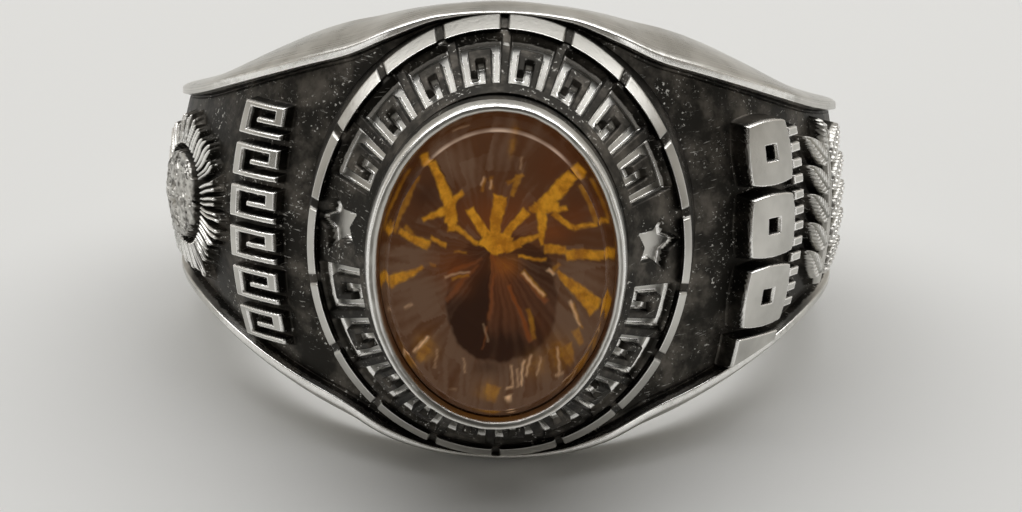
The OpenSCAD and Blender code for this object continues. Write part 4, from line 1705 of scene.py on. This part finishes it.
    embers: Strokes = (
        (0.41, -0.70, 1.20, -2.62, 0.08, 0.16, 0.9), (0.80, -0.33, 1.71, -1.29, 0.10, 0.16, 0.7),
        (-0.10, -0.33, -0.24, -1.95, 0.06, 0.12, 0.5), (-0.32, -2.17, -0.43, -2.99, 0.07, 0.07, 0.9),
        (-0.68, -0.03, -1.69, -1.29, 0.08, 0.20, 0.5), (-0.53, 0.19, -1.69, -0.40, 0.08, 0.20, 0.5),
    )
    patches: Strokes = (
        (0.00, 1.60, 1.70, 0.80, 0.0, 0.25, 0.55, 0.0), (2.40, 2.20, 0.90, 1.10, -0.2, 0.35, 0.10, 0.0),
        (-2.20, 2.20, 0.90, 1.10, 0.0, 0.40, 0.0, 0.0), (-1.40, -0.10, 0.80, 0.55, -0.3, 0.0, 0.45, 0.0),
        (-1.33, -0.84, 0.45, 0.35, 0.0, -0.2, 0.30, 0.0), (0.33, 0.00, 0.45, 0.35, 0.0, -0.7, 0.60, 0.12),
        (1.85, 1.08, 0.50, 0.35, -0.3, 0.0, 0.40, 0.0), (-2.41, 2.26, 0.55, 0.40, 0.0, 0.30, 0.0, 0.0),
        (2.65, 1.67, 0.50, 0.40, 0.0, 0.25, 0.30, 0.0), (1.78, 3.37, 0.55, 0.60, -0.3, 0.35, 0.20, 0.0),
        (-1.33, 3.45, 0.60, 0.90, 0.6, -0.1, 0.0, 0.0), (0.19, 3.74, 0.80, 0.60, 0.2, 0.1, 0.0, 0.0),
        (0.41, 4.11, 0.10, 0.35, 0.0, 0.0, 0.0, 0.25), (-2.99, 0.19, 0.50, 0.50, 0.5, 0.0, 0.0, 0.0),
        (-2.92, -1.21, 0.60, 0.90, 0.4, 0.0, 0.0, 0.0), (2.94, -0.40, 0.50, 0.50, 0.4, 0.0, 0.0, 0.0),
        (-2.41, -2.91, 0.35, 0.45, 0.0, 0.0, 0.0, 0.30), (-0.24, -4.47, 0.35, 0.35, 0.0, 0.0, 0.0, 0.22),
        (2.14, -2.99, 0.35, 0.50, 0.0, 0.0, 0.0, 0.35), (1.35, -3.43, 0.40, 0.40, 0.0, 0.0, 0.0, 0.18),
        (-0.24, -3.58, 0.50, 0.25, 0.0, 0.5, 0.0, 0.0), (0.30, -2.90, 1.30, 0.60, 0.0, 0.25, -0.3, 0.0),
    )

    def stroke(self, x: Array, z: Array, strokes: Strokes) -> Array:
        """The strength of the strongest stroke at each place, with soft edges.

        The distance outside a stroke is the larger of the distance past its side, with the width blended
        between its ends, and the distance past the nearer end.

        Args:
            x: Places across the stone.
            z: Places along the finger.
            strokes: The strokes.

        Returns:
            The strengths from 0 to 1.
        """
        most = np.zeros_like(x)
        for x0, z0, x1, z1, w0, w1, strength in strokes:
            long = float(np.hypot(x1 - x0, z1 - z0))
            u = ((x - x0) * (x1 - x0) + (z - z0) * (z1 - z0)) / long**2
            side = np.abs((x - x0) * (z1 - z0) - (z - z0) * (x1 - x0)) / long
            outside = np.maximum(side - (w0 + (w1 - w0) * np.clip(u, 0, 1)) / 2, np.maximum(-u, u - 1) * long)
            most = np.maximum(most, strength * plateau(outside, 0.10))
        return most

    def seen(self, x: Array, z: Array, depth: Array) -> tuple[Array, Array]:
        """Where on the table a place at a depth below it is seen, a little uneven by sines of the place."""
        x, z = x + self.shift[0] * depth, z + self.shift[1] * depth
        return (x + 0.025 * np.sin(5.3 * z + 2.0 * x) + 0.012 * np.sin(19.0 * z + 11.0 * x),
                z + 0.025 * np.sin(6.1 * x) + 0.012 * np.sin(23.0 * x - 7.0 * z))

    def areas(self, x: Array, z: Array) -> Array:
        """What the soft spots add to haze, deep, ember and flash, each a bell curve about its middle.

        Args:
            x: Places across the stone.
            z: Places along the finger.

        Returns:
            The four tones' additions.
        """
        added = np.zeros((4, *x.shape))
        for mid_x, mid_z, wide, tall, *amounts in self.patches:
            spot = np.exp(-(((x - mid_x) / wide) ** 2) - ((z - mid_z) / tall) ** 2)
            added += spot * np.array(amounts)[:, None, None]
        return added

    def tones(self, x: Array, z: Array, depth: Array, facet: Array) -> dict[str, Array]:
        """The tones of places on the pavilion.

        In polar coordinates about the centre, with the turn measured from straight down, a keel of painted
        shade and a sector of painted red light beside it fill the dark oval of painted shade, whose edge is a
        little ragged. Rays are a product of two sines of the turn. Each facet and each of its mirror images,
        which are sectors of the turn in rings of the oval, is painted a little lighter or darker than its
        neighbours, as if it caught more or less light. The ground is painted lighter towards the bottom, pale
        hatching of painted light lies along the lower edge, and the strokes fade at the table's edge.

        Args:
            x: Places across the stone in millimetres.
            z: Places along the finger.
            depth: Depths below the table.
            facet: The number of the facet at each place.

        Returns:
            The numbers by the names of their attributes.
        """
        x, z = self.seen(x, z, depth)
        (mid_x, mid_z), (disc_x, disc_z, disc_a, disc_b) = self.centre, self.disc
        far, turn = np.hypot(x - mid_x, z - mid_z), np.arctan2(x - mid_x, mid_z - z)
        rays = 0.5 + 0.3 * np.sin(23.0 * turn + 1.3) * np.sin(9.0 * turn + 0.4)
        rays = rays + 0.2 * np.sin(61.0 * turn + 3.0 * far)
        oval = np.hypot(x / self.edge[0], z / self.edge[1])
        ring = np.floor(oval * 5.0)
        tone = scatter(facet + 7.0 * (np.floor(turn * 2.7 + 0.5 * ring) + 31.0 * ring))
        ragged = 0.022 * np.sin(7.0 * turn + 0.5) + 0.010 * np.sin(29.0 * turn + 1.0)
        ragged = ragged + np.hypot((x - disc_x) / disc_a, (z - disc_z) / disc_b)
        in_disc = 1.0 - smooth_step(0.93, 1.01, ragged)
        # Painted shade of a keel and painted red light of a sector beside it, in the dark oval.
        keel = smooth_step(-0.75, -0.35, turn) * (1 - smooth_step(-0.06, 0.02, turn)) * (z < mid_z)
        sector = smooth_step(-0.06, 0.02, turn) * (1 - smooth_step(0.3, 1.4, turn))
        haze, deep, ember, flash = self.areas(x, z)
        glow, low = self.stroke(x, z, self.embers), smooth_step(0.9, -1.0, z)
        red = sector * (0.18 + 0.60 * np.exp(-far / 1.2)) * (0.6 + 0.8 * rays) + 0.8 * glow
        hatch = smooth_step(0.0, 0.8, np.sin(17.0 * x + 2.0 * np.sin(2.0 * z)) * np.sin(7.3 * x + 1.0))
        # The ground, painted lighter towards the bottom and for each facet, over the stone's colour.
        haze = 0.24 + 0.42 * low + 0.70 * (tone - 0.5) + 0.6 * (rays - 0.5) + haze
        flash = np.maximum(self.stroke(x, z, self.streaks), flash * (0.6 + 0.8 * rays))
        fade = 1.0 - smooth_step(0.96, 1.02, oval)
        # deep is painted shade; ember, flash and glint are painted reflections; haze is the ground.
        return {
            "haze": np.clip(haze + 0.5 * (hatch * smooth_step(-2.9, -3.6, z)), 0, 1),
            "deep": np.clip(in_disc * (0.74 + 0.34 * keel + 0.28 * (0.5 - rays) - 0.6 * glow) + deep, 0, 1),
            "ember": np.clip(in_disc * red + ember, 0, 1),
            "flash": np.clip(flash, 0, 1) * fade,
            "glint": self.stroke(x, z, self.glints) * fade,
        }


@dataclass
class Stone:
    """The oval stone: table, crown, girdle and a pavilion of mains and girdle facets that meets in a culet.

    Attributes:
        sizes: The ring's sizes.
        cut: The stone's own sizes.
        fire: The light painted in it.
        turns: Sections round it.
        rings: Rings of the pavilion.
        crown_steps: Steps of the crown.
        least: The pavilion's innermost ring, as a share of its outermost.
    """

    sizes: RingSizes
    cut: StoneCut
    fire: Fire = field(default_factory=Fire)
    turns: int = 380
    rings: int = 120
    crown_steps: int = 8
    least: float = 0.004

    @property
    def half(self) -> Array:
        """Half of the stone's width and of its length."""
        return np.array([self.sizes.stone_w / 2, self.sizes.stone_l / 2])

    def facets(self) -> Array:
        """The pavilion's facet planes, each through three of its corners.

        Returns:
            For each plane three numbers: the depth on it is the first, plus the second times x, plus the
            third times z.
        """
        cut, half = self.cut, self.half
        m = np.arange(cut.mains)
        rim_t, middle_t = np.arange(2 * cut.mains) * pi / cut.mains, (m + 0.5) * 2 * pi / cut.mains
        rim = join(np.cos(rim_t), np.sin(rim_t)) * half
        middle = join(np.cos(middle_t), np.sin(middle_t)) * half * cut.middle
        low, mid, culet = cut.low_depth, cut.middle_depth, cut.culet_depth
        even, odd, after = rim[2 * m], rim[2 * m + 1], rim[(2 * m + 2) % len(rim)]
        corners = [
            ((even, low), (middle, mid), (odd, low)),
            ((odd, low), (middle, mid), (after, low)),
            ((even, low), (middle[m - 1], mid), (middle, mid)),
            ((middle[m - 1], mid), (0 * middle, culet), (middle, mid)),
        ]
        places = np.concatenate([np.stack([place for place, _ in three], axis=1) for three in corners])
        depths = np.repeat([[depth for _, depth in three] for three in corners], cut.mains, axis=0)
        flat = np.concatenate([np.ones_like(places[..., :1]), places], axis=-1)
        return np.linalg.solve(flat, depths[..., None])[..., 0]

    def front(self, t: Array) -> Array:
        """The rings of the table and the crown, from the table's middle outward.

        Args:
            t: Turns round the stone, in radians.

        Returns:
            One ring on the table and the crown's rings, turns by rings by coordinates.
        """
        z, cut = self.sizes, self.cut
        table_x, table_z = self.half * cut.table
        lower = np.array([0.0, 0.0, -cut.table_low])
        inner = z.oval((table_x - cut.bevel, table_z - cut.bevel), t, cut.sink) + lower
        outer = z.oval((table_x, table_z), t, cut.sink + 0.6 * cut.bevel) + lower
        girdle = z.oval(tuple(self.half), t, cut.girdle_depth)
        crown = along_line(np.stack([outer, girdle], axis=1), self.crown_steps)
        return np.concatenate([inner[:, None], crown], axis=1)

    def build(self, shop: Workshop, front: bpy.types.Material, back: bpy.types.Material) -> bpy.types.Object:
        """Builds the piece as rings from the middle of the table over the girdle to the culet.

        The pavilion's depth at a place is the least of the depths of all its facet planes there.

        Args:
            shop: Where it is made.
            front: Finish of the table, the crown and the girdle.
            back: Finish of the pavilion, with the light in its facets painted on.

        Returns:
            The piece.
        """
        z, cut, (half_x, half_z) = self.sizes, self.cut, self.half
        t, share = circle(self.turns), np.linspace(1.0, self.least, self.rings)
        x, up = half_x * np.cos(t)[:, None] * share, half_z * np.sin(t)[:, None] * share
        planes = self.facets()
        depths = planes[:, 0] + planes[:, 1] * x[..., None] + planes[:, 2] * up[..., None]
        depth = depths.min(axis=-1)
        above = self.front(t)
        rings = above.shape[1]
        points = np.concatenate([above, join(x, depth - z.table_y, up)], axis=1)
        tones = self.fire.tones(x, up, depth - cut.sink, depths.argmin(axis=-1))
        values = {name: np.pad(tone, ((0, 0), (rings, 0))) for name, tone in tones.items()}
        rim, painted_highlight = np.zeros((2, *points.shape[:2]))
        # Painted shade: the crown darkens towards the girdle, beside the bezel.
        rim[:, 2:rings] = np.linspace(0.45, 1.0, rings - 2) ** 1.5
        # Painted highlight: a broken glowing line along the table's upper edge.
        broken = 0.44 + 0.26 * np.sin(17.0 * t) * np.sin(5.0 * t)
        painted_highlight[:, 1] = smooth_step(0.60, 0.92, np.sin(t + 0.03)) * broken
        tips = z.oval((0.0, 0.0), np.zeros(2), np.array([cut.sink, cut.culet_depth]))
        piece = shop.piece("oval_stone", capped(points, tips), {**values, "rim": rim, "painted_highlight": painted_highlight}, front)
        piece.data.materials.append(back)
        # The faces' rings, in the order that capped() makes them, with -1 for the flat of the table.
        last = points.shape[1] - 1
        ring = np.concatenate([np.tile(np.arange(last), self.turns), np.repeat([-1, last + 1], self.turns)])
        piece.data.polygons.foreach_set("material_index", (ring >= rings).astype(np.int32))
        piece.data.polygons.foreach_set("use_smooth", ring >= 0)
        return piece


# Studio


@dataclass(frozen=True)
class Light:
    """One soft box that faces the ring.

    Attributes:
        name: Its name.
        place: Where it hangs, in metres.
        size: Its width and height in metres.
        power: Its power in watts.
        facing: The place that it faces.
    """

    name: str
    place: tuple[float, float, float]
    size: tuple[float, float]
    power: float
    facing: tuple[float, float, float] = (0.0, 0.0, 0.008)

    def hang(self) -> bpy.types.Object:
        """Hangs it in the scene.

        Returns:
            The light.
        """
        data = bpy.data.lights.new(self.name, "AREA")
        data.shape, (data.size, data.size_y), data.energy = "RECTANGLE", self.size, self.power
        light = stand(self.name, data)
        light.location = self.place
        light.rotation_euler = (Vector(self.facing) - Vector(self.place)).to_track_quat("-Z", "Y").to_euler()
        return light


@dataclass(frozen=True)
class Studio:
    """Camera, floor and lights.

    Attributes:
        elevation: How far the camera looks down on the ring's own plane, in degrees.
        yaw: How far it stands to the right of the head, in degrees.
        roll: How far the picture is turned, in degrees.
        distance: From the bezel's middle to the camera, in millimetres.
        lens: Focal length for a sensor 36 mm wide.
        aim: Where the bezel's middle is in the photograph, in pixels.
        picture: The photograph's size in pixels.
        floor_half: Half of the floor's width in metres.
        lights: The lamps.
        room: The room's colour.
        horizon: The room's strength at the horizon.
        zenith: Its strength overhead.
        front: The share of its strength in front of the ring.
    """

    elevation: float = 12.0
    yaw: float = 1.2
    roll: float = 1.2
    distance: float = 160.0
    lens: float = 169.1
    aim: tuple[float, float] = (497.0, 264.7)
    picture: tuple[float, float] = (1022.0, 512.0)
    floor_half: float = 3.0
    lights: tuple[Light, ...] = (
        Light("overhead", (-0.005, 0.205, 0.50), (1.50, 0.30), 4.6),
        Light("left_front", (-0.50, -0.34, 0.16), (0.30, 0.30), 0.22),
        Light("right_front", (0.42, -0.45, 0.13), (0.25, 0.25), 0.20),
    )
    room: Colour = (1.0, 0.945, 0.855)
    horizon: float = 0.50
    zenith: float = 0.12
    front: float = 0.34

    def build(self, lie: Lie, sizes: RingSizes) -> None:
        """Sets up all of it round the ring.

        Args:
            lie: How the ring lies.
            sizes: The ring's sizes.
        """
        self.camera(lie, sizes)
        self.floor(PaleFloor())
        for light in self.lights:
            light.hang()
        self.world()
        bpy.context.scene.view_settings.view_transform = "Standard"

    def camera(self, lie: Lie, sizes: RingSizes) -> bpy.types.Object:
        """Stands the camera where the photograph was taken from.

        Args:
            lie: How the ring lies.
            sizes: The ring's sizes, which give the bezel's middle.

        Returns:
            The camera.
        """
        up, side, roll = radians(self.elevation), radians(self.yaw), radians(self.roll)
        back = np.array([sin(side) * cos(up), -cos(side) * cos(up), sin(up)])
        right = np.array([cos(side), sin(side), 0.0])
        top = np.cross(back, right)
        rolled = np.stack([cos(roll) * right + sin(roll) * top, cos(roll) * top - sin(roll) * right, back])
        matrix = Matrix((rolled @ lie.axes).T.tolist()).to_4x4()
        target = np.array([0.0, -sizes.table_y, 0.0])
        matrix.translation = Vector(lie.place(target + self.distance * back))
        data = bpy.data.cameras.new("camera")
        data.lens, data.sensor_width, data.clip_start, data.clip_end = self.lens, 36.0, 0.01, 20.0
        wide, tall = self.picture
        data.shift_x = (wide / 2 - self.aim[0]) / wide
        data.shift_y = (self.aim[1] - tall / 2) / wide
        camera = stand("camera", data)
        camera.matrix_world = matrix
        bpy.context.scene.camera = camera
        return camera

    def floor(self, finish: PaleFloor) -> bpy.types.Object:
        """Lays the floor.

        Args:
            finish: Its finish.

        Returns:
            The floor.
        """
        mesh, half = bpy.data.meshes.new("floor"), self.floor_half
        corners = [(-half, -half, 0), (half, -half, 0), (half, half, 0), (-half, half, 0)]
        mesh.from_pydata(corners, [], [(0, 1, 2, 3)])
        mesh.materials.append(finish.build("pale_floor"))
        floor = stand("floor", mesh)
        return floor

    def world(self) -> None:
        """Gives the room a light that changes smoothly from horizon to overhead and from back to front."""
        g = Graph(bpy.data.worlds.new("room"))
        way = g.value("ShaderNodeTexCoord", {}, {}, output="Generated")
        up, back = (g.value("ShaderNodeSeparateXYZ", {}, {0: way}, output=axis) for axis in ("Z", "Y"))
        strength = up.step(0.25, 0.85) * (self.zenith - self.horizon) + self.horizon
        strength = strength * (back.step(-0.6, 0.6) * (1.0 - self.front) + self.front)
        room = g.value("ShaderNodeBackground", {}, {"Color": (*self.room, 1.0), "Strength": strength})
        g.add("ShaderNodeOutputWorld", {}, {"Surface": room})
        bpy.context.scene.world = g.owner


def main() -> None:
    """Sets up the studio and builds the ring's pieces in order."""
    logging.basicConfig(level=logging.INFO, format="%(name)s: %(message)s")
    lie, sizes, cut = Lie.from_record(frame["record"]), RingSizes(), StoneCut()
    Studio().build(lie, sizes)
    shop, silver = Workshop(lie), AntiquedSilver().build("antiqued_silver")
    casting = [
        Band(sizes).build(shop, silver),
        Head(sizes, cut).build(shop, silver),
        Bezel(sizes).build(shop, silver),
        LeftShoulder(sizes, Side.LEFT).build(shop, silver),
        RightShoulder(sizes, Side.RIGHT).build(shop, silver),
    ]
    for piece in casting:
        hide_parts("ring_casting")
    front, back = AmberCrystal().build("amber_crystal"), AmberDepth().build("amber_depth")
    stone = Stone(sizes, cut).build(shop, front, back)
    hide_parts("stone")
    for name, triangles in shop.made.items():
        log.info("%s: %d triangles", name, triangles)
    log.info("in all: %d triangles", sum(shop.made.values()))


if __name__ == "__main__":
    main()
